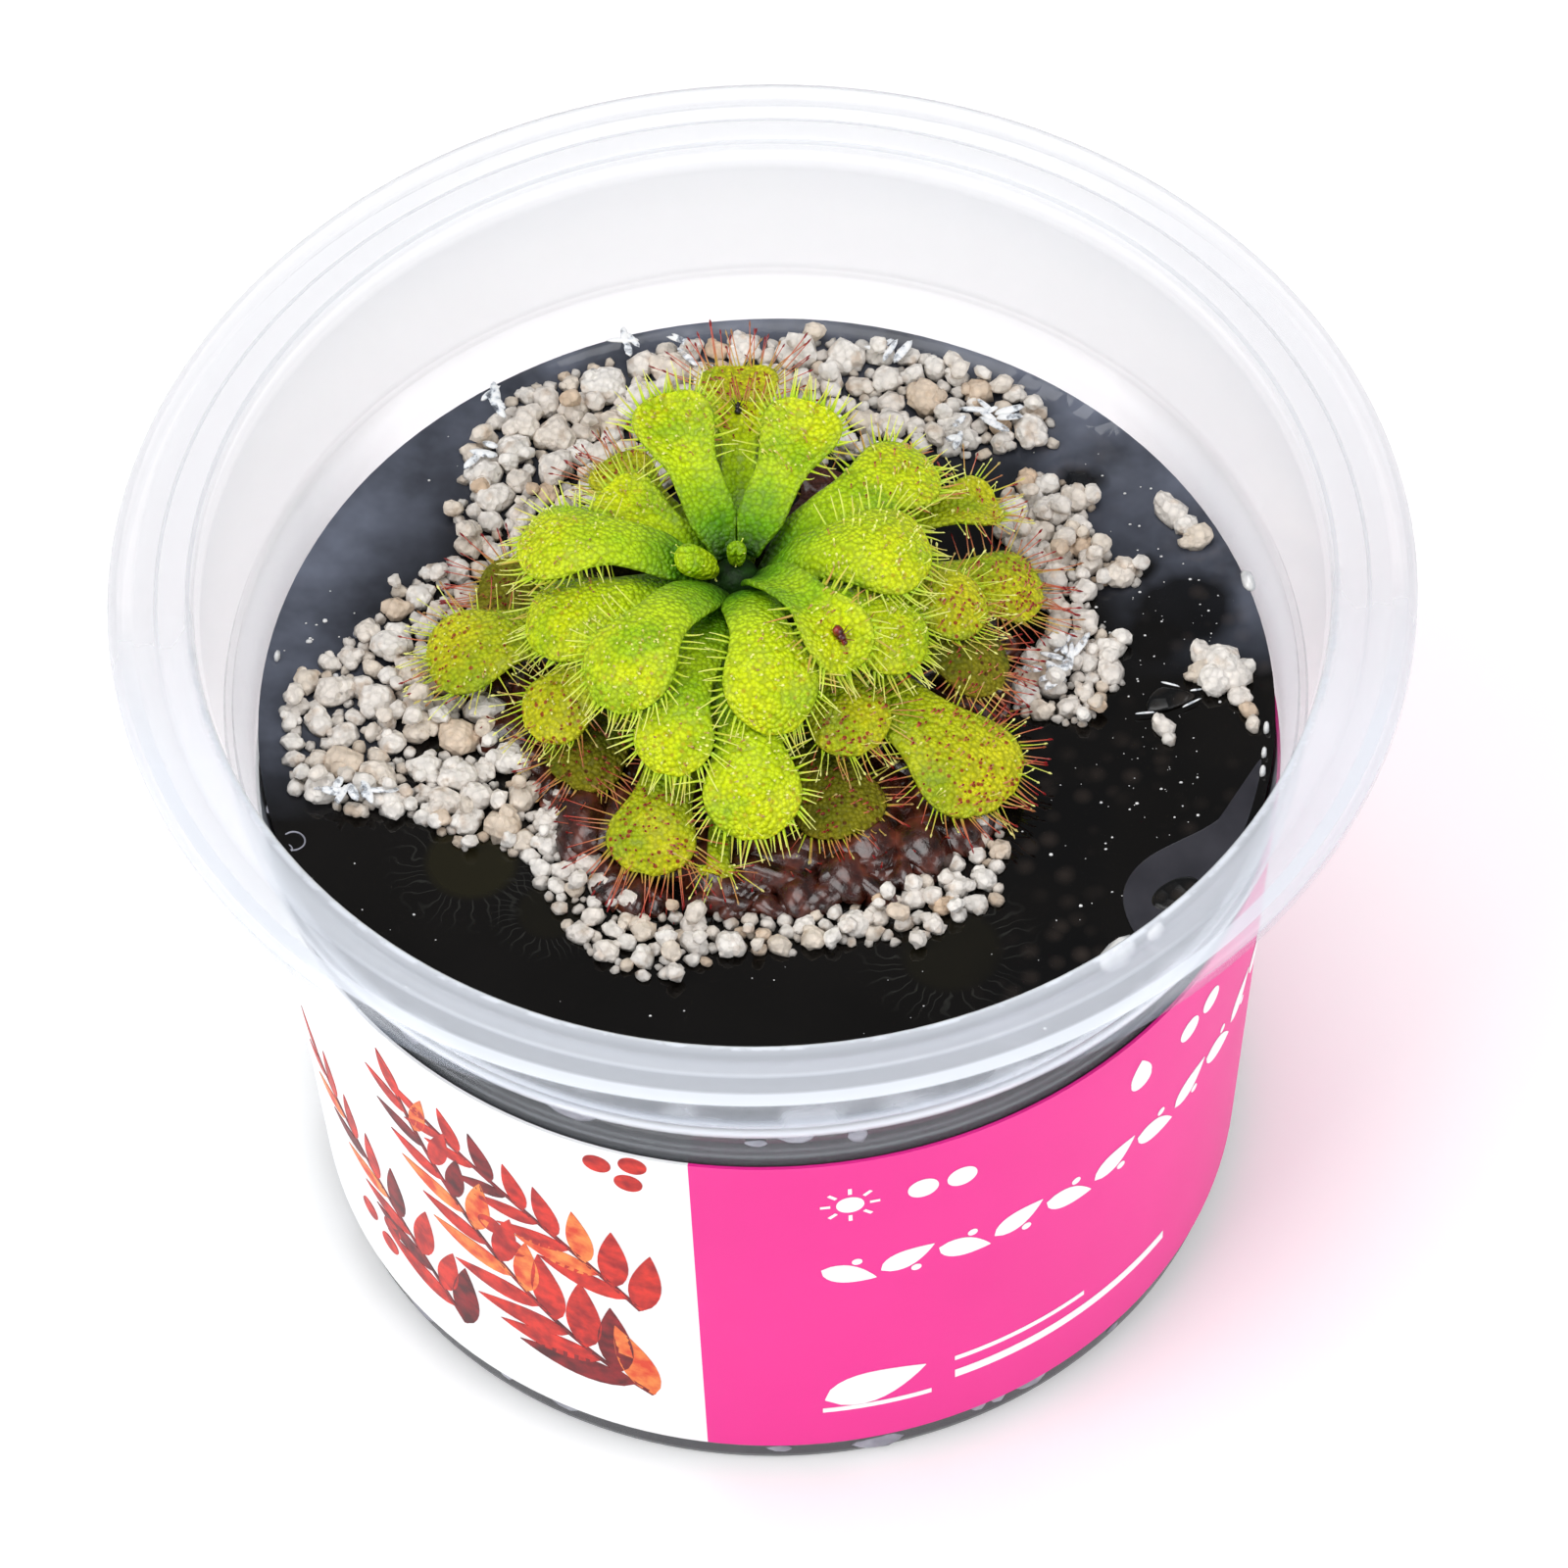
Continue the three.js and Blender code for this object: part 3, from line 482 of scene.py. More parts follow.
# The picture on the white half: two bowed branches of pointed leaves that cross it, and berries between them.
Branch = namedtuple("Branch", "foot turn length bend pairs leaf")
BRANCHES = [
    Branch(Vector((-10.8, 9.2)), 2.5, 36, -0.5, 10, 10.5),
    Branch(Vector((-28, 7.6)), 2.15, 26, 0.5, 7, 8.5),
    Branch(Vector((-11.5, 22)), 2.2, 24, 0.55, 7, 8.5),
]
picture_random = random.Random(4)
picture = {"maroon": [], "red": [], "orange": []}
for branch in BRANCHES:
    steps = branch.pairs * 2
    for step in range(steps + 1):
        along = step / steps
        turn = branch.turn + branch.bend * along
        middle = branch.turn + branch.bend * along / 2
        foot = branch.foot + Vector((math.cos(middle), math.sin(middle))) * (branch.length * along)
        side = 1 if step % 2 else -1
        length = branch.leaf * (1 - 0.5 * along) * picture_random.uniform(0.9, 1.1)
        lean = side * picture_random.uniform(0.6, 0.85) if step < steps else 0
        shade = picture_random.choice(("maroon", "red", "red", "orange"))
        picture[shade].append(flat_leaf(foot.x, foot.y, length, length * 0.3, turn + lean))
        if step < steps:
            picture["maroon"].append(flat_bar(foot.x, foot.y, branch.length / steps + 0.2, 0.5, turn))
BERRIES = [
    (-40, 11), (-37.2, 9.2), (-36.5, 12.6), (-14.5, 43), (-12, 41.2), (-11.6, 43.9), (-24.5, 26.8), (-22.4, 25),
]
picture["red"].extend(flat_dot(x, y, 1.15) for x, y in BERRIES)
for shade, shapes in picture.items():
    print_ink(f"label_picture_{shade}", shapes, shade)

# ---------------------------------------------------------------- the gel
# A block of black agar gel poured hot into the cup. It is a turned piece with a low meniscus at the wall and a
# very smooth wet top, which is slightly wavy and shows dark grains under its surface on the right.
GEL_TOP = 50
GEL_SIDES = 128
GEL_RINGS = [
    (34.4, 1.1), (35.2, 1.3), (35.6, 2.4), (38.9, CONE_TOP), (39.6, 49.6), (39.72, 50.3), (39.3, 50.24),
    (38.8, 50.1), (38, 50.02), (36.5, 50), (32, 50), (26, 50), (20, 50), (14, 50), (8, 50), (3, 50),
]
gel = turn_shell("gel_block", GEL_RINGS, GEL_SIDES)
for vertex in gel.data.vertices:
    if vertex.co.z > (GEL_TOP - 0.01) * MM:
        vertex.co.z += 0.09 * MM * noise.noise(vertex.co * 90)


def cells_at(here, scale):
    """How far a place lies from the middle of its cell, among scattered cells about 1 / scale metres wide."""
    return add_node("TexVoronoi", {"Vector": here, "Scale": scale})["Distance"]


black_gel = new_finish("black_gel", IOR=1.37)
here, (x, y, z) = object_place(black_gel)
cells = cells_at(here, 520)
grains_show = times(share(x, 12, 24), ramp(noise_at(here, 95), (0.4, 0), (0.6, 1)))
# The grains on the right are dark brown, and their lighter middles are partly a painted sheen.
grain_tone_and_sheen = ramp(cells, (0.1, (0.032, 0.024, 0.02)), (0.5, (0.0022, 0.002, 0.002)))
deep_and_reflected = ramp(noise_at(here, 60), (0.3, (0.003, 0.0024, 0.0018)), (0.7, (0.006, 0.005, 0.0042)))
# A painted reflection of the pale wall on the top near the edge, but not at the front left; clouds break it up.
wall_light = times(
    ramp(share(from_axis_length(x, y), 27, 39), (0.05, 0), (1, 1)),
    mix(share(x, -12, 12), share(y, -9, 0), share(y, 2, 13)),
    share(z, GEL_TOP - 1, GEL_TOP - 0.3),
    ramp(noise_at(here, 110, 4), (0.36, 0.3), (0.62, 1)),
)
# Painted reflections of leaves on the gel's top at the front: an olive blade and a fan of pale hairs round it.
# For each, where it lies, its radius and how clearly it shows.
LEAF_REFLECTIONS = [(-23.2, -13.3, 3.9, 0.9), (-17.2, -18.4, 2.8, 0.3), (13.6, -23.4, 4.2, 0.35)]
HAIRS_ROUND_LEAF = 34
REFLECTED_HAIR_PALE = (0.03, 0.03, 0.026)
REFLECTED_OLIVE = (0.0145, 0.0125, 0.005)
crook = noise_at(here, 260, 2)
for leaf_x, leaf_y, radius, shows in LEAF_REFLECTIONS:
    middle = Vector((leaf_x, leaf_y, GEL_TOP)) * MM
    from_middle = add_node("VectorMath", {0: here, 1: middle}, operation="SUBTRACT")["Vector"]
    away = add_node("VectorMath", {0: from_middle}, operation="LENGTH")["Value"]
    aside, ahead, _ = add_node("SeparateXYZ", {"Vector": from_middle})
    turn = work_out("ADD", work_out("ARCTAN2", ahead, aside), crook)
    strands = ramp(work_out("SINE", work_out("MULTIPLY", turn, HAIRS_ROUND_LEAF)), (0.72, 0), (1, 0.7))
    hairy = ramp(share(away, 0.9 * radius, 1.8 * radius), (0, 0), (0.15, 1), (1, 0))
    on_leaf = ramp(share(away, 0.8 * radius, radius), (0, shows), (1, 0))
    deep_and_reflected = mix(on_leaf, mix(times(strands, hairy), deep_and_reflected, REFLECTED_HAIR_PALE), REFLECTED_OLIVE)
# Round patches under the surface where the painted wall reflection is dimmed, so the gel looks blacker there:
# where each lies, and how wide it is.
GEL_LUMPS = [(33.2, 9.2, 5.4), (29.8, 13.2, 2.8), (25.6, 22.6, 3.0), (30.2, 6.0, 4)]
unevenness = work_out("MULTIPLY", crook, 3 * MM)
for lump_x, lump_y, size in GEL_LUMPS:
    middle = Vector((lump_x, lump_y, GEL_TOP)) * MM
    away = work_out("ADD", add_node("VectorMath", {0: here, 1: middle}, operation="DISTANCE")["Value"], unevenness)
    wall_light = times(wall_light, ramp(share(away, 0.8 * size, 1.15 * size), (0, 0.08), (1, 1)))
WALL_MIRRORED = (0.15, 0.165, 0.215)
feed("Base Color", mix(wall_light, mix(grains_show, deep_and_reflected, grain_tone_and_sheen), WALL_MIRRORED))
feed("Roughness", ramp(noise_at(here, 75, 4), (0.4, 0.02), (0.75, 0.1)))
ripple = mix(0.35, noise_at(here, 45, 2), noise_at(here, 420, 2))
bump(mix(grains_show, ripple, cells), 0.12, 0.6)
install(gel, black_gel, "black_gel", "gel")


def smooth_faces(piece):
    """Shades all faces of a piece smooth."""
    piece.data.polygons.foreach_set("use_smooth", [True] * len(piece.data.polygons))


def subdivide(piece, levels):
    """Rounds a piece by subdivision, for good."""
    bpy.context.view_layer.objects.active = piece
    rounder = piece.modifiers.new("rounder", "SUBSURF")
    rounder.levels = rounder.render_levels = levels
    bpy.ops.object.modifier_apply(modifier=rounder.name)


POOL_BASE = GEL_TOP - 0.1


def pool(name, outline, height):
    """A low blob with soft sides that stands on the gel, with this outline in millimetres."""
    blob = new_piece(name, bpy.ops.mesh.primitive_circle_add, vertices=len(outline), radius=MM, fill_type="NGON")
    for vertex, (x, y) in zip(blob.data.vertices, outline):
        vertex.co = Vector((x, y, POOL_BASE)) * MM
    bpy.ops.object.mode_set(mode="EDIT")
    bpy.ops.mesh.select_all(action="SELECT")
    for rise, narrowing in ((0.7, 0.97), (0.3, 0.8)):
        bpy.ops.mesh.extrude_region_move(TRANSFORM_OT_translate={"value": (0, 0, height * rise * MM)})
        bpy.ops.transform.resize(value=(narrowing, narrowing, 1))
    face_outwards()
    subdivide(blob, 2)
    smooth_faces(blob)
    return blob


def round_outline(x, y, long_radius, short_radius, turn, points):
    """An uneven round outline about a point."""
    outline = []
    for number in range(points):
        angle = 2 * math.pi * number / points
        swell = outline_random.uniform(0.85, 1.12)
        dx = long_radius * swell * math.cos(angle)
        dy = short_radius * swell * math.sin(angle)
        outline.append((x + dx * math.cos(turn) - dy * math.sin(turn), y + dx * math.sin(turn) + dy * math.cos(turn)))
    return outline


# A thin grey film has crept in from the wall at the front, with a small island beside it. A clear chip stands in
# the gel on the right, and the film is open round a small hollow.
gel_film, cloud = mottled("gel_film", 160, (0.35, (0.028, 0.027, 0.033)), (0.7, (0.048, 0.047, 0.056)), IOR=1.37)
feed("Roughness", ramp(cloud, (0.35, 0.06), (0.7, 0.16)))
FILM_OUTLINE = [
    (38.8, -4.7), (37.6, -7.3), (36.1, -10.2), (34.5, -12), (31.6, -13.5), (29, -14.9), (27.4, -16.7), (26.6, -18.8),
    (27, -21.6), (29, -25.8), (31.6, -23.3), (34.4, -18.8), (37, -13), (38.8, -6.8),
]
ISLAND_OUTLINE = [(14.6, -30.6), (17.4, -33.4), (21, -31.8), (19, -29.2), (16.4, -29)]
CHIP_OUTLINE = [(28.9, -1.4), (31.2, -1.2), (34.4, 0.4), (32.6, 0.9), (30.4, 1.9)]
install(pool("gel_film_front", FILM_OUTLINE, 0.3), gel_film, "black_gel")
install(pool("gel_film_island", ISLAND_OUTLINE, 0.25), gel_film, "black_gel")
gel_hollow = new_finish("gel_hollow", IOR=1.37)
cells = cells_at(object_place(gel_hollow)[0], 700)
feed("Base Color", ramp(cells, (0.1, (0.03, 0.024, 0.02)), (0.6, (0.003, 0.003, 0.003))))
feed("Roughness", ramp(cells, (0.1, 0.1), (0.6, 0.25)))
bump(cells, 0.5, 0.3)
install(pool("gel_chip", CHIP_OUTLINE, 0.55), gel_hollow, "black_gel")
outline_random = random.Random(3)
install(pool("gel_hollow", round_outline(31.3, -18.9, 2.6, 1.7, 0.6, 9), 0.44), gel_hollow, "black_gel")


def join_copies(name, copies):
    """One piece of many copies. Each is a model piece, its matrix, and a shade from 0 to 1 kept in its UV map."""
    pile = bmesh.new()
    for model, matrix, shade in copies:
        mesh = model.data.copy()
        mesh.transform(matrix)
        for corner in mesh.uv_layers[0].data:
            corner.uv.y = shade
        pile.from_mesh(mesh)
        bpy.data.meshes.remove(mesh)
    mesh = bpy.data.meshes.new(name)
    pile.to_mesh(mesh)
    pile.free()
    piece = bpy.data.objects.new(name, mesh)
    bpy.context.scene.collection.objects.link(piece)
    smooth_faces(piece)
    return piece


def lumpy_ball(name, seed, roughness):
    """A model stone or bubble of about unit radius, in millimetres, with its surface pushed in and out."""
    ball = new_piece(name, bpy.ops.mesh.primitive_ico_sphere_add, subdivisions=2, radius=MM)
    shift = Vector((seed * 7.3, seed * 3.1, seed * 5.7))
    for vertex in ball.data.vertices:
        way = vertex.co.normalized()
        swell = noise.noise(way * 1.1 + shift) + 0.5 * noise.noise(way * 2.6 + shift)
        vertex.co *= 1 + roughness * swell
    return ball


def placed(spot, turn=0, sizes=(1, 1, 1)):
    """The matrix that sizes a model, turns it about Z and moves it to a spot given in millimetres."""
    moved = Matrix.Translation(Vector(spot) * MM)
    return moved @ Matrix.Rotation(turn, 4, "Z") @ Matrix.Diagonal((*sizes, 1))


def clear_away(models):
    """Removes model pieces that were only copied."""
    for model in models:
        bpy.data.objects.remove(model)


# Pale bubbles that were caught between the gel and the cup's wall, above and below the sleeve in turn.
pale_bubble, _ = mottled("pale_bubble", 500, (0.3, (0.16, 0.16, 0.2)), (0.7, (0.4, 0.4, 0.46)), Roughness=0.35)
bubble_random = random.Random(21)
bubble_model = lumpy_ball("bubble_model", 2, 0.35)
BUBBLE_COUNT = 64
bubbles = []
for number in range(BUBBLE_COUNT):
    turn = bubble_random.uniform(0, 2 * math.pi)
    height = bubble_random.uniform(46.4, 49.2) if number % 2 else bubble_random.uniform(1.2, 2.7)
    wall = cone_radius(height) - 0.05 if height < CONE_TOP else 39.08 + 0.16 * (height - CONE_TOP)
    size = bubble_random.uniform(0.3, 0.95)
    sizes = (0.15, size * bubble_random.uniform(0.9, 2.6), size)
    spot = (wall * math.cos(turn), wall * math.sin(turn), height)
    bubbles.append((bubble_model, placed(spot, turn, sizes), 0.5))
install(join_copies("gel_bubbles", bubbles), pale_bubble, "black_gel")

# White specks and drops on the gel, which also serve as painted glints: most lie near the wall on the left and
# among the lumps on the right. For each field, its middle, its spread both ways, how many specks it has and
# the size of the largest.
white_speck_and_glint, _ = mottled("white_speck_and_glint", 900, (0.3, (0.55, 0.55, 0.56)), (0.7, (0.85, 0.84, 0.82)), Roughness=0.25,
                         Coat_Weight=0.6)
SPECK_FIELDS = [
    (-35, 11, 3.5, 5, 16, 0.3), (31, 6, 7, 14, 110, 0.16), (28, -14, 8, 10, 50, 0.17), (-22, 27, 6, 5, 14, 0.2),
    (0, -30, 22, 6, 22, 0.13), (27, 25, 6, 6, 14, 0.2), (-30, -18, 7, 6, 10, 0.14),
]
SPECK_REACH = 38.5
specks = []
for x, y, spread_x, spread_y, count, most in SPECK_FIELDS:
    for _ in range(count):
        spot = Vector((bubble_random.gauss(x, spread_x / 1.6), bubble_random.gauss(y, spread_y / 1.6), GEL_TOP + 0.04))
        size = most * (0.25 + 0.75 * bubble_random.random() ** 2.5)
        if spot.xy.length < SPECK_REACH:
            sizes = (size, size * bubble_random.uniform(0.6, 1), size * 0.5)
            specks.append((bubble_model, placed(spot, 0, sizes), 0.5))
WALL_DROPS = [
    (38.2, 11.4, 1.1, 0.6), (26.4, -24.6, 2.0, 1.1), (29.4, -22.6, 1.0, 0.7), (38.9, -3.2, 0.5, 0.6),
    (38.6, -5.6, 0.45, 0.5), (38.4, -7.4, 0.5, 0.5), (-38.2, 7.2, 0.5, 0.5),
]
for x, y, size, height in WALL_DROPS:
    matrix = placed((x, y, GEL_TOP + 0.35), math.atan2(y, x), (size * 0.5, size, height))
    specks.append((bubble_model, matrix, 0.5))
install(join_copies("gel_specks_and_glints", specks), white_speck_and_glint, "black_gel")

# Round bubbles with a bright edge, open on top.
RING_BUBBLES = [(-37, -10.8, 0.9), (-37.6, -11.6, 0.5), (-34.6, 3.4, 0.6), (-27.6, 2.6, 0.6), (-31.8, 9.4, 0.4)]
for number, (x, y, size) in enumerate(RING_BUBBLES):
    ring = new_piece(
        f"gel_bubble_ring_{number}", bpy.ops.mesh.primitive_torus_add, major_radius=size * MM, minor_radius=0.07 * MM,
        major_segments=28, minor_segments=8, location=Vector((x, y, GEL_TOP + 0.06)) * MM,
    )
    bpy.ops.object.transform_apply()
    for vertex in ring.data.vertices:
        vertex.co.z += 0.12 * MM * noise.noise(vertex.co * 900)
    smooth_faces(ring)
    install(ring, pale_bubble, "black_gel")

# ---------------------------------------------------------------- the stem
# A short dark green stem, thickened by the feet of old leaves, its green darkened further as painted shade in
# the crown. It stands 8 mm out of the gel and goes 6 mm down into it.
CROWN_X = -2
CROWN_Y = 8.5
CROWN_TOP = 58
stem_green, _ = mottled("stem_green", 900, (0.35, (0.003, 0.014, 0.001)), (0.7, (0.012, 0.05, 0.003)), Roughness=0.5,
                        Specular_IOR_Level=0.2)
bump(noise_at(object_place(stem_green)[0], 1800), 0.5, 0.3)
STEM_RINGS = [
    (0.7, 44), (1.1, 45), (1.2, 50.3), (2.3, 50.32), (2.6, 50.9), (2.45, 52), (2.5, 53), (2.2, 54.2), (2.25, 55),
    (1.9, 56.3), (1.7, 57.2), (1.1, 57.8), (0.4, CROWN_TOP),
]
stem = turn_shell("stem", STEM_RINGS, 24)
for vertex in stem.data.vertices:
    vertex.co += Vector((CROWN_X, CROWN_Y, 0)) * MM
install(stem, stem_green, "leaf_young", "crown")

# ---------------------------------------------------------------- the leaves
# Spoon-shaped leaves with a broad strap for a stalk, the oldest lowest. Each is a grid laid along an arched
# midline, thickened, rounded and pebbled. Lengths are millimetres, heights count from the gel.
Leaf = namedtuple("Leaf", "name turn reach root crest tip width dish age blush start", defaults=(None,))
LEAVES = [Leaf(f"leaf_{name}", *rest) for name, *rest in [
    ("dead_left", -156, 20, 0.8, 0.8, 0.8, 3.2, 0, "dead", 1, 8),
    ("dead_front_left", -116, 23.5, 0.8, 0.8, 0.8, 3.4, 0, "dead", 1, 8),
    ("dead_front", -85, 24.2, 0.8, 0.8, 0.8, 3.2, 0, "dead", 1, 8),
    ("dead_front_right", -57, 25.5, 0.8, 0.8, 0.8, 3.3, 0, "dead", 1, 8),
    ("dead_right", -27, 23, 0.8, 0.8, 0.8, 3, 0, "dead", 1, 8),
    ("dead_back", 60, 17, 0.8, 0.8, 0.8, 3, 0, "dead", 1, 8),
    ("front_shade", -69, 23.5, 1.4, 3.2, 2.2, 3.7, -0.2, "old", 0.6),
    ("left_shade", -131, 21, 1.4, 3.2, 2, 3.3, -0.2, "old", 0.7),
    ("front_small", -95, 25.4, 1.8, 2.2, 1.8, 1.5, 0.2, "mature", 0.45, 17.5),
    ("left_far_low", 172, 20.5, 1.4, 3.0, 2, 3.2, 0.1, "old", 0.85),
    ("right_big", -44, 28, 2.4, 5.2, 2.4, 4.7, -0.15, "mature", 0.5),
    ("right_far", 1, 23.8, 1.9, 5, 3, 3.5, -0.1, "mature", 0.75),
    ("front_low", -108, 26, 2.4, 4.6, 1.8, 3.6, -0.2, "mature", 0.8),
    ("back_low", 88, 22.5, 2.4, 5, 5, 3.2, 0.2, "mature", 0.75),
    ("right_brown", -22, 22.2, 3.45, 6.05, 3.45, 3.2, -0.2, "old", 0.7),
    ("left_far", -169, 24.6, 2.9, 5.0, 2.6, 4, -0.1, "mature", 0.35),
    ("front_right_low", -59, 19, 3.4, 7.35, 5.35, 3.4, -0.2, "mature", 0.45),
    ("right_back_edge", 19, 21.8, 3.2, 7, 5.6, 2.6, 0.3, "mature", 0.4),
    ("back_left_low", 127, 16.5, 3.4, 5.4, 5.2, 2.8, 0.1, "mature", 0.6),
    ("left_under", -143, 20.3, 3.8, 6.3, 3.6, 3.2, -0.2, "mature", 0.35),
    ("right_mid", -12, 19.7, 4.55, 8.0, 6.0, 3.3, -0.2, "mature", 0.3),
    ("front_centre", -88, 23.8, 5.1, 8.55, 4.35, 3.9, -0.25, "young", 0.15),
    ("left_low", -163, 17, 4.9, 8.4, 6.2, 3.9, -0.25, "young", 0.15),
    ("right_back", 31, 18, 4.6, 9.4, 8.4, 3.7, -0.1, "young", 0.3),
    ("front_left_under", -107, 20.2, 6.25, 10.3, 7.1, 3.2, -0.2, "young", 0.15),
    ("back_left_dark", 142, 12.9, 5.1, 8, 8, 2.9, 0.15, "young", 0.2),
    ("back_small", 87, 15.6, 5.3, 8.4, 9.2, 2.3, 0.3, "young", 0.45),
    ("right_low", -34, 17, 5.5, 10, 7.6, 3.4, -0.25, "young", 0.15),
    ("front_right", -80, 17.2, 7.25, 12.75, 8.75, 3.8, -0.25, "young", 0.1),
    ("left_high", 173, 17, 6.65, 10.85, 8.65, 3.7, -0.25, "young", 0.15),
    ("front_left", -125, 17.8, 7.3, 12.95, 9.55, 3.8, -0.2, "young", 0.1),
    ("right_high", -4, 15.2, 6.8, 11.45, 9.65, 4.3, -0.25, "young", 0.12),
    ("back_left", 111, 15.2, 6.5, 10.6, 12.2, 3.3, 0.15, "young", 0.2),
    ("front_cupped", -54, 14.8, 8.2, 13.05, 10.05, 2.9, 0.3, "young", 0.25),
    ("back_right", 64, 15, 7.1, 10.2, 11.4, 3.3, 0.1, "young", 0.15),
]]
MOST_BLADE_SHARE = 0.62
STALK_FOOT_WIDTH = 0.95
STALK_SHARE = 0.6


def smooth(low, high, value):
    """A soft step from 0 at low to 1 at high."""
    part = min(1, max(0, (value - low) / (high - low)))
    return part * part * (3 - 2 * part)


def blade_share(leaf):
    """The share of a leaf's length that its round blade takes."""
    return min(MOST_BLADE_SHARE, 1.15 * 2 * leaf.width / leaf.reach)


def half_width(leaf, t):
    """Half of a leaf's width at t, from 0 at its foot to 1 at its tip."""
    round_part = blade_share(leaf)
    centre = 1 - round_part / 2
    stalk = STALK_FOOT_WIDTH + (STALK_SHARE * leaf.width - STALK_FOOT_WIDTH) * smooth(0, 0.22, t)
    widened = stalk + (leaf.width - stalk) * smooth(centre - 0.66 * round_part, centre - 0.03 * round_part, t)
    past = max(0, (t - centre) / (1 - centre))
    return widened * math.sqrt(1 - 0.94 * past * past)


def leaf_place(leaf, t, v):
    """A point on the middle of a leaf, v from edge to edge (-1 to 1), with the ways along, across and above it."""
    turn = math.radians(leaf.turn)
    outward = Vector((math.cos(turn), math.sin(turn), 0))
    across = Vector((-math.sin(turn), math.cos(turn), 0))
    start = leaf.start if leaf.start is not None else 2.8 - 0.1 * leaf.root
    span = leaf.reach - start
    crest = (leaf.crest - (leaf.root + leaf.tip) / 8) * 4 / 3
    ends = [Vector((start, leaf.root)), Vector((start + 0.3 * span, crest)),
            Vector((start + 0.85 * span, crest)), Vector((leaf.reach, leaf.tip))]
    u = 1 - t
    spot = u ** 3 * ends[0] + 3 * u * u * t * ends[1] + 3 * u * t * t * ends[2] + t ** 3 * ends[3]
    slope = u * u * (ends[1] - ends[0]) + 2 * u * t * (ends[2] - ends[1]) + t * t * (ends[3] - ends[2])
    slope.normalize()
    along = outward * slope.x + Vector((0, 0, slope.y))
    above = along.cross(across).normalized()
    half = half_width(leaf, t)
    point = outward * spot.x + Vector((CROWN_X, CROWN_Y, GEL_TOP + spot.y)) + across * v * half
    return point + above * leaf.dish * half * v * v, along, across, above


def uv_place(finish):
    """The place in the piece's UV map, split into U, V and nothing."""
    return add_node("SeparateXYZ", {"Vector": add_node("UVMap", {}, finish.node_tree)["UV"]})


# Leaf tissue is dark at the foot, partly as painted shade in the crown, turns lime along the stalk and yellow
# at the blade's edge. It is pebbled all over, and older leaves are dotted with dark glands. One group draws
# pebbles and dots for every leaf.
leaf_skin = bpy.data.node_groups.new("leaf_skin", "ShaderNodeTree")
SKIN_SOCKETS = [("Place", "INPUT", "Vector"), ("Pebbles per metre", "INPUT", "Float"),
                ("Glands per metre", "INPUT", "Float"), ("Height", "OUTPUT", "Float"), ("Glands", "OUTPUT", "Float")]
for socket, side, kind in SKIN_SOCKETS:
    leaf_skin.interface.new_socket(socket, in_out=side, socket_type=f"NodeSocket{kind}")
asked = leaf_skin.nodes.new("NodeGroupInput").outputs
given = leaf_skin.nodes.new("NodeGroupOutput").inputs
domes = ramp(cells_at(asked["Place"], asked["Pebbles per metre"]), (0.1, 1), (0.8, 0))
glands = ramp(cells_at(asked["Place"], asked["Glands per metre"]), (0.19, 1), (0.28, 0))
leaf_skin.links.new(domes, given["Height"])
leaf_skin.links.new(glands, given["Glands"])

# Shades from the foot to the blade, the edge's shade, the glands' shade and how many of them show.
LeafShades = namedtuple("LeafShades", "foot stalk neck blade edge glands glands_shown")
LEAF_SHADES = {
    "young": LeafShades((0.01, 0.045, 0.002), (0.15, 0.38, 0.003), (0.5, 0.7, 0.004), (0.68, 0.77, 0.004),
                        (0.85, 0.9, 0.04), (0.45, 0.16, 0.012), 0.4),
    "mature": LeafShades((0.04, 0.11, 0.003), (0.18, 0.34, 0.004), (0.44, 0.53, 0.004), (0.62, 0.6, 0.006),
                         (0.78, 0.7, 0.03), (0.3, 0.022, 0.01), 0.92),
    "old": LeafShades((0.03, 0.035, 0.005), (0.07, 0.08, 0.005), (0.15, 0.155, 0.007), (0.22, 0.2, 0.009),
                      (0.4, 0.3, 0.02), (0.08, 0.015, 0.008), 0.85),
    "dead": LeafShades((0.03, 0.008, 0.004), (0.06, 0.014, 0.008), (0.11, 0.024, 0.012), (0.1, 0.022, 0.012),
                       (0.07, 0.02, 0.012), (0.02, 0.006, 0.004), 0.5),
}
LEAF_SLOTS = {"young": "leaf_young", "mature": "leaf_mature", "old": "leaf_old", "dead": "leaf_withered"}
COAT_WEIGHTS = {"young": 0.08, "mature": 0.08, "old": 0.0, "dead": 0.5}
leaf_finishes = {}
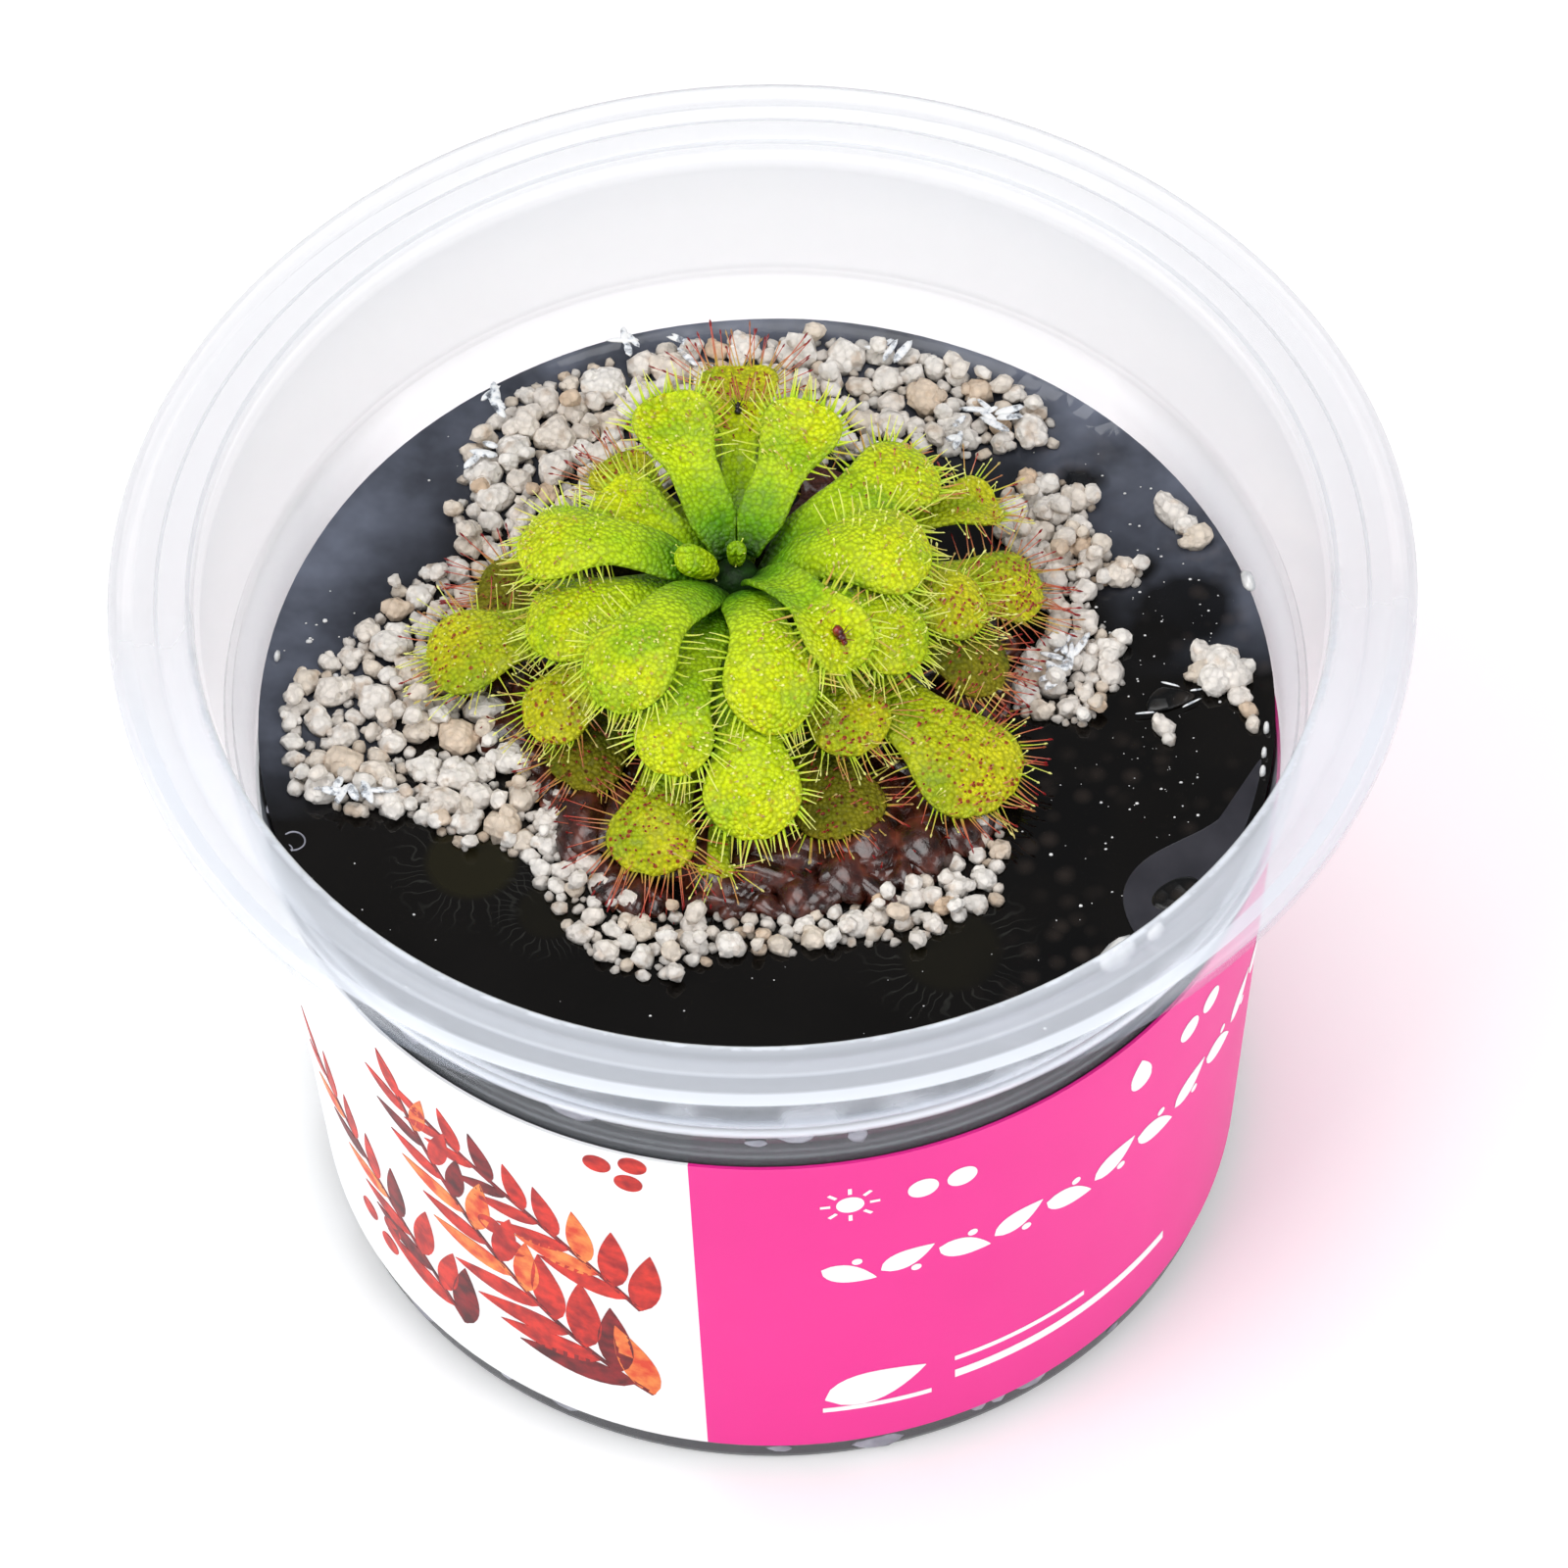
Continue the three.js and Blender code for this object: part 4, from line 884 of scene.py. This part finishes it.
for age, shades in LEAF_SHADES.items():
    finish = new_finish(f"leaf_{age}", Specular_IOR_Level=0.12 if age == "old" else 0.24,
                        Coat_Weight=COAT_WEIGHTS[age], Coat_Roughness=0.12)
    here, _ = object_place(finish)
    lengthways, sideways, _ = uv_place(finish)
    shade = ramp(lengthways, (0.02, shades.foot), (0.14, shades.stalk), (0.32, shades.neck), (0.62, shades.blade))
    off_middle = work_out("ABSOLUTE", work_out("SUBTRACT", sideways, 0.5))
    at_edge = ramp(off_middle, (0.2, 0), (0.42, 0.22), (0.485, 0.8))
    shade = mix(at_edge, shade, mix(lengthways, shades.stalk, shades.edge))
    blotches = ramp(noise_at(here, 250), (0.34, (0.6, 0.79, 0.86)), (0.5, (0.95, 0.98, 0.97)), (0.7, 1.12))
    wanted = {"Place": here, "Pebbles per metre": 2500, "Glands per metre": 1350}
    pebbles, glands = add_node("Group", wanted, node_tree=leaf_skin)
    # Painted shade in the hollows between pebbles, and painted light on their tops.
    shade = times(shade, blotches, ramp(pebbles, (0.05, 0.66), (0.6, 1.06)))
    dots = times(glands, ramp(lengthways, (0.35, 0), (0.6, shades.glands_shown)))
    feed("Base Color", mix(dots, shade, shades.glands))
    feed("Roughness", ramp(noise_at(here, 700), (0.3, 0.28), (0.7, 0.48)))
    bump(pebbles, 0.9, 0.28)
    leaf_finishes[age] = finish

BLADE_STEPS = 28
BLADE_COLUMNS = 10
BLADE_THICKNESS = 0.5
STALK_ROWS = 0.4
WITHERED_CRINKLE = 0.5
LIVING_CRINKLE = 0.16


def grow_blade(leaf):
    """One leaf without its hairs. STALK_ROWS is the share of the grid's rows that its stalk takes."""
    blade = new_piece(f"{leaf.name}_blade", bpy.ops.mesh.primitive_grid_add, x_subdivisions=BLADE_STEPS,
                      y_subdivisions=BLADE_COLUMNS, size=2)
    round_part = blade_share(leaf)
    crinkle = WITHERED_CRINKLE if leaf.age == "dead" else LIVING_CRINKLE
    for vertex in blade.data.vertices:
        row = vertex.co.x / 2 + 0.5
        if row < STALK_ROWS:
            t = row / STALK_ROWS * (1 - round_part)
        else:
            t = 1 - round_part * (1 - math.sin((row - STALK_ROWS) / (1 - STALK_ROWS) * math.pi / 2))
        point, _, _, above = leaf_place(leaf, t, vertex.co.y)
        point += above * crinkle * smooth(0.15, 0.5, t) * noise.noise(point * 0.45)
        vertex.co = point * MM
    solidify(blade, BLADE_THICKNESS, 0)
    subdivide(blade, 1)
    for vertex in blade.data.vertices:
        vertex.co += vertex.normal * 0.05 * MM * noise.noise(vertex.co * 2600)
    smooth_faces(blade)
    install(blade, leaf_finishes[leaf.age], LEAF_SLOTS[leaf.age], leaf.name)
    return blade


blades = {leaf.name: grow_blade(leaf) for leaf in LEAVES}

# ---------------------------------------------------------------- the sticky hairs
# Every blade has long hairs round its edge and short ones on its face, each with a gland at its end: yellow-green
# on young leaves and red on old ones. They are copies of two model hairs, kept clear of the leaves around.
hair_finish = new_finish("sticky_hair", Roughness=0.3, Specular_IOR_Level=0.4)
up_hair, redness, _ = uv_place(hair_finish)
green_hair = ramp(up_hair, (0, (0.4, 0.62, 0.01)), (0.4, (0.66, 0.76, 0.06)), (1, (0.88, 0.86, 0.3)))
red_hair = ramp(up_hair, (0, (0.45, 0.4, 0.03)), (0.3, (0.6, 0.2, 0.09)), (0.82, (0.56, 0.07, 0.05)),
                (0.9, (0.22, 0.004, 0.007)))
feed("Base Color", mix(ramp(redness, (0.3, 0), (0.6, 1)), green_hair, red_hair))

HAIR_LENGTH = 2.87
HAIR_CLEARANCE = 0.45
HAIR_FORMS = {
    "spike": [(0.16, 0), (0.125, 0.6), (0.09, 1.3), (0.06, 2.1), (0.045, 2.6), (0.055, 2.72), (0.02, 2.87)],
    "stalked": [(0.11, 0), (0.075, 0.5), (0.055, 1.4), (0.045, 2.42), (0.105, 2.55), (0.115, 2.68), (0.03, 2.87)],
    "stub": [(0.2, 0), (0.12, 1.2), (0.1, 2.0), (0.22, 2.3), (0.22, 2.62), (0.06, 2.87)],
}


def model_hair(name, rings, lean):
    """A model hair that stands on z = 0 and leans to one side, with its length in its UV map."""
    hair = turn_shell(name, rings, 5)
    length = rings[-1][1] * MM
    for vertex in hair.data.vertices:
        vertex.co.x += lean * vertex.co.z ** 2 / length
    for corner, loop in zip(hair.data.uv_layers[0].data, hair.data.loops):
        corner.uv.x = hair.data.vertices[loop.vertex_index].co.z / length
    return hair


model_hairs = {
    form: [model_hair(f"hair_{form}_{number}", rings, lean) for number, lean in enumerate((0.0, 0.15, 0.3))]
    for form, rings in HAIR_FORMS.items()
}

# Every blade as one surface, which tells hairs, lumps and grains where a leaf is in their way.
leaf_points = []
leaf_faces = []
for blade in blades.values():
    first = len(leaf_points)
    leaf_points.extend(vertex.co.copy() for vertex in blade.data.vertices)
    leaf_faces.extend([first + corner for corner in face.vertices] for face in blade.data.polygons)
all_blades = BVHTree.FromPolygons(leaf_points, leaf_faces)


def stand(root, way, lean_to, length, width):
    """The matrix that stands a model hair on root, along way, so that it bends towards lean_to."""
    side = (lean_to - way * lean_to.dot(way)).normalized()
    turned = Matrix((side, way.cross(side), way)).transposed().to_4x4()
    return Matrix.Translation(root) @ turned @ Matrix.Diagonal((width, width, length, 1))


def free_length(root, way, length):
    """How long a hair may be before it meets a leaf."""
    start = root + way * HAIR_CLEARANCE * MM
    _, _, _, distance = all_blades.ray_cast(start, way, length)
    return length if distance is None else distance


hair_random = random.Random(11)
HairHabit = namedtuple("HairHabit", "edge_form edge_length face_share face_length")
HAIR_HABITS = {
    "young": HairHabit("spike", 0.72, 0.55, 1.0),
    "mature": HairHabit("stalked", 0.85, 0.6, 0.7),
    "old": HairHabit("stalked", 0.75, 0.5, 0.7),
    "dead": HairHabit("stalked", 0.6, 0.12, 0.8),
}
EDGE_HAIR_SPACING = 0.42
FACE_HAIR_SPACING = 0.6


def edge_hair_places(leaf):
    """Where the edge hairs of a leaf grow: (t, v) along both edges and round the tip."""
    count = round(blade_share(leaf) * leaf.reach / EDGE_HAIR_SPACING)
    for step in range(count):
        t = 1 - blade_share(leaf) * 1.12 * (1 - math.sin((step + 0.5) / count * math.pi / 2))
        for edge in (-1, 1):
            yield t + 0.01 * hair_random.uniform(-1, 1), edge
    for v in (-0.7, -0.35, 0, 0.35, 0.7):
        yield 1, v


def add_hair(copies, form, root, way, lean_to, length, blush):
    """Adds a hair that is length times as long as its model, or shorter where a leaf is in its way."""
    room = free_length(root, way, length * HAIR_LENGTH * MM) / (HAIR_LENGTH * MM)
    if room < 0.6 * length and room < 0.3:
        return
    thickness = hair_random.uniform(0.65, 0.9) * (min(1, 0.55 + 0.6 * length) if form == "spike" else 1)
    matrix = stand(root, way, lean_to, min(length, room), 0.45 if form == "stub" else thickness)
    shade = min(1, max(0, blush + hair_random.uniform(-0.28, 0.3)))
    copies.append((hair_random.choice(model_hairs[form]), matrix, shade))


def grow_hairs(leaf):
    """All hairs of one leaf as one piece."""
    copies = []
    habit = HAIR_HABITS[leaf.age]
    for t, v in edge_hair_places(leaf):
        t = min(t, 1)
        point, along, across, above = leaf_place(leaf, t, v)
        ahead = 1.25 * smooth(1 - blade_share(leaf), 1, t) - 0.25 if abs(v) == 1 else 0.95
        way = along * ahead + across * math.copysign(math.sqrt(max(0, 1 - ahead * ahead)), v)
        way += above * hair_random.uniform(0, 0.75) + along * hair_random.uniform(-0.2, 0.2)
        lean_to = above if hair_random.random() < 0.7 else -above
        length = habit.edge_length * hair_random.uniform(0.65, 1.2) * (1 + 0.45 * smooth(0.5, 0.8, leaf.blush))
        if leaf.age != "dead" or hair_random.random() < 0.35:
            add_hair(copies, habit.edge_form, point * MM, way.normalized(), lean_to, length, leaf.blush)
    blade_length = blade_share(leaf) * leaf.reach
    count = int(habit.face_share * blade_length * leaf.width * 1.45 / FACE_HAIR_SPACING ** 2)
    for _ in range(count):
        t = 1 - blade_share(leaf) * 1.05 * hair_random.random() ** 0.9
        v = hair_random.uniform(-0.95, 0.95)
        if hair_random.random() > half_width(leaf, t) / leaf.width:
            continue
        point, along, across, above = leaf_place(leaf, t, v)
        root = (point + above * (BLADE_THICKNESS / 2 - 0.05)) * MM
        near_edge = max(abs(v), smooth(0.78, 1, t))
        way = (above + 0.6 * v * across + along * (hair_random.uniform(0, 0.4) + 0.5 * smooth(0.85, 1, t))).normalized()
        if near_edge > 0.78 and leaf.age != "dead":
            length = habit.edge_length * (0.1 + 0.55 * near_edge ** 6) * hair_random.uniform(0.7, 1.2)
            add_hair(copies, habit.edge_form, root, way, across, length, leaf.blush)
        else:
            length = 0.16 * habit.face_length * hair_random.uniform(0.7, 1.4)
            add_hair(copies, "stub", root, way, across, length, leaf.blush + 0.12)
    install(join_copies(f"{leaf.name}_hairs", copies), hair_finish, LEAF_SLOTS[leaf.age])


for leaf in LEAVES:
    grow_hairs(leaf)

# The withered leaves are pressed into a wet red-brown heap of lumps between the living leaves and the perlite.
heap_finish, rot = mottled("withered_heap", 650, (0.32, (0.01, 0.003, 0.002)), (0.52, (0.055, 0.01, 0.005)),
                           (0.74, (0.17, 0.035, 0.016)), detail=5, Coat_Weight=0.6, Coat_Roughness=0.08)
feed("Roughness", ramp(rot, (0.3, 0.16), (0.7, 0.4)))
bump(rot, 0.6, 0.4)
heap_random = random.Random(31)
heap_models = [lumpy_ball(f"heap_model_{number}", number + 20, 0.5) for number in range(4)]
HEAP_TRIES = 260
heap = []
for _ in range(HEAP_TRIES):
    turn = heap_random.uniform(-168, -8)
    front = smooth(-137, -112, turn) * (1 - smooth(-48, -30, turn))
    farthest = 21.4 + 6.2 * front
    reach = farthest - 11 * heap_random.random() ** 1.4
    size = heap_random.uniform(1.1, 2.5) * (1 - 0.35 * smooth(farthest - 3, farthest, reach))
    turn = math.radians(turn)
    spot = Vector((CROWN_X + reach * math.cos(turn), CROWN_Y + reach * math.sin(turn), GEL_TOP + 0.3 * size))
    room = free_length(spot * MM, Vector((0, 0, 1)), 4 * MM) / MM
    if room < 0.7:
        continue
    size = min(size, room)
    matrix = placed(spot, heap_random.uniform(0, 6.28), (size * 1.5, size * 0.9, size * 0.62))
    heap.append((heap_random.choice(heap_models), matrix, 0.5))
install(join_copies("withered_heap", heap), heap_finish, "leaf_withered")
clear_away(heap_models)

# ---------------------------------------------------------------- the folded young leaves
# Two leaves at the tip of the stem that haven't opened yet: lime eggs with a crease and a few hairs, one leaning
# out and one upright. shade_at is the place on a leaf's length whose shade the whole bud takes.
Bud = namedtuple("Bud", "name turn tilt distance height length width shade_at")
BUD_HAIR_SHARE = 0.015
BUDS = [
    Bud("bud_folded", 192, 44, 3.0, 9.5, 4.3, 3.0, 0.34),
    Bud("bud_centre", 80, 75, 0.5, 9, 2.4, 1.7, 0.22),
]
for bud in BUDS:
    egg = new_piece(f"{bud.name}_leaf", bpy.ops.mesh.primitive_uv_sphere_add, segments=28, ring_count=18, radius=1)
    turn = math.radians(bud.turn)
    foot = Vector((CROWN_X + bud.distance * math.cos(turn), CROWN_Y + bud.distance * math.sin(turn),
                   GEL_TOP + bud.height))
    turned = Matrix.Rotation(turn, 4, "Z") @ Matrix.Rotation(-math.radians(bud.tilt), 4, "Y")
    for vertex in egg.data.vertices:
        x, y, z = vertex.co
        blunt = math.copysign(abs(x) ** 0.7, x)
        narrow = 0.72 + 0.28 * smooth(-1, 0.7, x)
        shaped = Vector((blunt * bud.length / 2, y * bud.width / 2 * narrow, z * bud.width / 2.4 * narrow))
        shaped.z -= 0.35 * math.exp(-(shaped.y / 0.18) ** 2) * smooth(-0.2, 0.5, z)
        vertex.co = (foot + turned @ shaped) * MM
    smooth_faces(egg)
    for corner in egg.data.uv_layers[0].data:
        corner.uv = (bud.shade_at, 0.5)
    copies = []
    for vertex in egg.data.vertices:
        if hair_random.random() < BUD_HAIR_SHARE:
            lean_to = turned.to_3x3() @ Vector((1, 0, 0.3))
            matrix = stand(vertex.co.copy(), vertex.normal.copy(), lean_to, 0.12, 0.35)
            copies.append((hair_random.choice(model_hairs["stub"]), matrix, 0.1))
    install(egg, leaf_finishes["young"], "leaf_young", bud.name)
    install(join_copies(f"{bud.name}_hairs", copies), hair_finish, "leaf_young")
for models in model_hairs.values():
    clear_away(models)

# ---------------------------------------------------------------- two caught insects
# A dark red fly stuck on the cupped front leaf and a tiny black gnat at the tip of a back leaf. Each is a few
# joined lumps for body and head, with crooked legs.
fly_finish, _ = mottled("fly_skin", 1500, (0.35, (0.05, 0.003, 0.003)), (0.65, (0.3, 0.015, 0.01)), Roughness=0.35,
                        Coat_Weight=0.4)
gnat_finish, _ = mottled("gnat_skin", 1500, (0.35, (0.003, 0.003, 0.003)), (0.65, (0.03, 0.02, 0.015)), Roughness=0.3)
Insect = namedtuple("Insect", "name leaf t v size finish")
INSECTS = [
    Insect("caught_fly", "leaf_front_cupped", 0.8, 0.05, 0.62, fly_finish),
    Insect("caught_gnat", "leaf_back_small", 0.9, 0.1, 0.42, gnat_finish),
]
BODY_LUMPS = [(-0.9, 0.75), (0, 0.62), (0.75, 0.42)]
insect_random = random.Random(8)
insect_model = lumpy_ball("insect_model", 4, 0.3)
leg_model = model_hair("leg_model", [(0.09, 0), (0.07, 1), (0.04, 2.87)], 0.35)
leaves_by_name = {leaf.name: leaf for leaf in LEAVES}
for insect in INSECTS:
    point, along, across, above = leaf_place(leaves_by_name[insect.leaf], insect.t, insect.v)
    point += above * (BLADE_THICKNESS / 2 + 0.4 * insect.size)
    copies = []
    for step, size in BODY_LUMPS:
        lump = insect.size * size
        copies.append((insect_model, placed(point + along * step * insect.size, 0, (lump, lump, lump)), 0.5))
    for leg in range(6):
        turn = math.radians(40 + 50 * (leg % 3)) * (1 if leg < 3 else -1) + insect_random.uniform(-0.2, 0.2)
        way = (along * math.cos(turn) + across * math.sin(turn) + above * 0.15).normalized()
        copies.append((leg_model, stand(point * MM, way, above, 0.55 * insect.size, 0.7), 0.5))
    install(join_copies(insect.name, copies), insect.finish, "leaf_withered")
clear_away([insect_model, leg_model])

# ---------------------------------------------------------------- the perlite
# White expanded-glass grains, strewn on the gel round the plant and a few beside the bed. Copies of eight model
# stones are thrown inside each outline, big ones first and small ones in the gaps, clear of the leaves.
BED_OUTLINE = [
    (24.2, 25.6), (23.6, 29.8), (19.9, 33.4), (14.1, 36), (8.9, 37.6), (2.4, 38.4), (-2.8, 38.6), (-10.7, 37.2),
    (-17.2, 35), (-20.5, 32.6), (-24, 26.9), (-23.6, 24.8), (-24.7, 19), (-22.5, 17.2), (-27.6, 15.6), (-29, 13.7),
    (-31.1, 10.9), (-34.4, 7.1), (-38.4, 4.4), (-38.8, -1.8), (-38, -7.1), (-36.5, -7.4), (-34.6, -8.3),
    (-31.6, -9.5), (-28.9, -8.5), (-27.4, -9.5), (-24, -12.5), (-21.7, -11.6), (-19, -14.3), (-17.3, -19.1),
    (-15, -22.3), (-11.6, -25.3), (-7.8, -25.5), (-4, -24), (0.8, -23.5), (6.4, -22.7), (11.1, -22.8), (15, -20.6),
    (17.6, -19.3), (18.8, -13.5), (17.7, -11), (15.1, -12), (13.1, -14.9), (10.2, -17.7), (6.4, -18.9), (0.9, -19.4),
    (-5.2, -19.1), (-9.8, -19.2), (-12.1, -16.8), (-13.9, -12.7), (-15.5, -8), (-18, -4), (-19, 5), (-16, 15),
    (-10, 22), (0, 24), (10, 25), (17, 24.6),
]
PATCH_OUTLINE = [
    (20.6, 23), (23.5, 23), (26.9, 20.2), (25.8, 17.8), (27.5, 15.9), (27.4, 14.2), (30.1, 13.3), (29.9, 11.5),
    (26.2, 11.3), (25.7, 9.7), (26.5, 8.1), (28.3, 6.1), (27.9, 4.4), (28.4, 2.2), (26.5, 0), (24.9, -2.4),
    (23.2, -2), (20.5, -1.7), (19, -0.3), (19.5, 2.4), (21.5, 5.2), (22.2, 9.1), (20.8, 13), (18.6, 17.1), (19, 21),
]
CLUMPS = {
    "perlite_clump_right": [(34.5, 3.9, 1.2), (35.8, 3.4, 1.5), (34, 2.5, 1.1), (35.2, 1.9, 1.5), (36.6, 2, 1.4),
                            (37.6, 2.9, 0.8), (36.9, 0, 0.9), (37.6, -1.3, 0.8), (37.9, -2.7, 0.7)],
    "perlite_clump_back": [(32.4, 18.6, 1.3), (33.6, 17.2, 1.0), (34.4, 15.8, 1.3)],
    "perlite_chip": [(30.9, -2.7, 0.9), (31.3, -3.8, 0.6)],
}
WALL_REACH = 38.2

perlite_finish = new_finish("perlite", Roughness=0.85)
here, (x, y, z) = object_place(perlite_finish)
_, tint, _ = uv_place(perlite_finish)
stone_shade = ramp(tint, (0, (0.92, 0.87, 0.81)), (0.6, (0.87, 0.8, 0.73)), (0.9, (0.82, 0.71, 0.59)),
                   (0.985, (0.74, 0.55, 0.39)))
spots = ramp(noise_at(here, 620, 4), (0.56, 0), (0.7, 0.5))
# Grains darken towards the gel: wet there, and painted shade at their feet.
wet_and_shaded_foot = ramp(share(z, GEL_TOP, GEL_TOP + 1.1), (0, 0.35), (0.6, 0.9), (1, 1))
pores = cells_at(here, 1700)
bump(mix(0.45, pores, noise_at(here, 1100, 4)), 1, 0.5)
SPOT_TAN = (0.5, 0.32, 0.18)
feed("Base Color", times(mix(spots, stone_shade, SPOT_TAN), wet_and_shaded_foot, ramp(pores, (0.1, 1.04), (0.8, 0.8))))

stones = [lumpy_ball(f"stone_{number}", number + 1, 0.42) for number in range(8)]
# Three throws: how many tries, the smallest and largest grain, and how far apart grains lie in shares of their radii.
GRAIN_THROWS = [(700, 1.05, 1.4, 0.86), (7000, 0.68, 1.0, 0.84), (14000, 0.34, 0.62, 0.8)]
# Grains at the front of the bed are finer. Neighbours are looked up in square cells of this many millimetres.
FRONT_OF_BED = -12
FRONT_COARSENESS = 0.85
NEIGHBOUR_CELL = 3


def inside(outline, x, y):
    """Whether a point lies inside an outline."""
    crossings = 0
    for (x0, y0), (x1, y1) in zip(outline, outline[1:] + outline[:1]):
        if (y0 > y) != (y1 > y) and x < (x1 - x0) * (y - y0) / (y1 - y0) + x0:
            crossings += 1
    return crossings % 2 == 1


def throw_grains(outline, seed, coarseness):
    """Grain places (x, y, radius) inside an outline: three throws, from big grains to small ones."""
    throw = random.Random(seed)
    xs = [corner[0] for corner in outline]
    ys = [corner[1] for corner in outline]
    grains = []
    near = {}
    for tries, least, most, apart in GRAIN_THROWS:
        for _ in range(tries):
            x = throw.uniform(min(xs), max(xs))
            y = throw.uniform(min(ys), max(ys))
            radius = throw.uniform(least, most) * (FRONT_COARSENESS if y < FRONT_OF_BED else coarseness)
            corners = [(x + dx * radius, y + dy * radius) for dx in (-0.55, 0.55) for dy in (-0.55, 0.55)]
            if math.hypot(x, y) + radius > WALL_REACH or not all(inside(outline, *corner) for corner in corners):
                continue
            column, row = int(x // NEIGHBOUR_CELL), int(y // NEIGHBOUR_CELL)
            cells = [(column + dx, row + dy) for dx in (-1, 0, 1) for dy in (-1, 0, 1)]
            around = [grain for cell in cells for grain in near.get(cell, ())]
            if all(math.hypot(x - gx, y - gy) > apart * (radius + other) for gx, gy, other in around):
                grains.append((x, y, radius))
                near.setdefault((column, row), []).append((x, y, radius))
    return grains


def add_stone(copies, throw, spot, radius, tint):
    """Adds one stone, turned at random and lying a little flat, unless a leaf takes its place."""
    _, _, _, distance = all_blades.find_nearest(spot * MM)
    if distance < 0.85 * radius * MM:
        return
    matrix = placed(spot, throw.uniform(0, 6.28)) @ Matrix.Rotation(throw.uniform(-0.5, 0.5), 4, "X")
    sizes = (radius * throw.uniform(0.95, 1.2), radius * throw.uniform(0.85, 1.05), radius * 0.82, 1)
    copies.append((throw.choice(stones), matrix @ Matrix.Diagonal(sizes), tint))


# Clumps, which have few grains, have no stones on top. LOBED is the radius from which a stone has lobes.
MOST_IN_CLUMP = 20
SHARE_ON_TOP = 0.2
LOBED = 0.8


def lay_perlite(node, grains, seed):
    """Lays a stone on the gel at each place, with small lobes on the bigger ones and a few stones on top."""
    throw = random.Random(seed)
    copies = []
    for x, y, radius in grains:
        spot = Vector((x, y, GEL_TOP + 0.4 * radius))
        tint = throw.random()
        add_stone(copies, throw, spot, radius, tint)
        if radius > LOBED:
            for _ in range(throw.choice((1, 2, 2, 3))):
                angle = throw.uniform(0, 6.28)
                lobe = radius * throw.uniform(0.4, 0.62)
                aside = Vector((math.cos(angle), math.sin(angle), throw.uniform(-0.1, 0.5))) * (radius * 0.72)
                add_stone(copies, throw, spot + aside, lobe, tint)
        if len(grains) > MOST_IN_CLUMP and throw.random() < SHARE_ON_TOP:
            on_top = Vector((throw.uniform(-0.5, 0.5), throw.uniform(-0.5, 0.5), 0.95 * radius + 0.5))
            add_stone(copies, throw, spot + on_top, throw.uniform(0.5, 0.9), throw.random())
    install(join_copies(f"{node}_grains", copies), perlite_finish, "perlite", node)


lay_perlite("perlite_bed", throw_grains(BED_OUTLINE, 5, 1.15), 6)
lay_perlite("perlite_patch", throw_grains(PATCH_OUTLINE, 7, 0.88), 8)
for node, grains in CLUMPS.items():
    lay_perlite(node, grains, 9)
clear_away(stones)

# Painted highlights where water shines white between the grains and at the chip's edges: broken slivers of
# glare. Each spot has its place and how many slivers it has, and each edge its middle, turn and length.
wet_glint, broken = mottled("wet_glint", 1400, (0.4, (0.6, 0.64, 0.7)), (0.56, (0.95, 0.95, 0.95)), detail=2,
                            Roughness=0.08)
feed("Alpha", ramp(broken, (0.36, 0.05), (0.46, 0.95)))
GLINT_SPOTS = [
    (22.3, 2.6, 10), (24.2, 5.0, 3), (18.3, 27.8, 7), (16, 26.4, 3), (-33.2, -7, 5), (-30.6, -7.4, 3),
    (-22.6, 25.6, 3), (-20.6, 31, 6), (-10.1, 36.4, 4), (-5, 35.2, 3), (10.5, 35, 4),
]
CHIP_EDGES = [(29.6, -1.35, 0.05, 0.9), (33.2, -0.5, 0.5, 0.9), (31.6, 1.4, -0.35, 0.8), (33.6, 0.75, 0.1, 0.5)]
glint_random = random.Random(17)
slivers = []
for x, y, count in GLINT_SPOTS:
    for _ in range(count):
        spot = (x + glint_random.gauss(0, 0.8), y + glint_random.gauss(0, 0.8), GEL_TOP + 1.75)
        turn = glint_random.uniform(0, 3.14)
        sizes = (glint_random.uniform(0.7, 1.5), glint_random.uniform(0.24, 0.42), 0.14)
        slivers.append((bubble_model, placed(spot, turn, sizes), 0.5))
for x, y, turn, length in CHIP_EDGES:
    slivers.append((bubble_model, placed((x, y, GEL_TOP + 0.45), turn, (length, 0.1, 0.08)), 0.5))
install(join_copies("wet_glints", slivers), wet_glint, "black_gel")
clear_away([bubble_model])
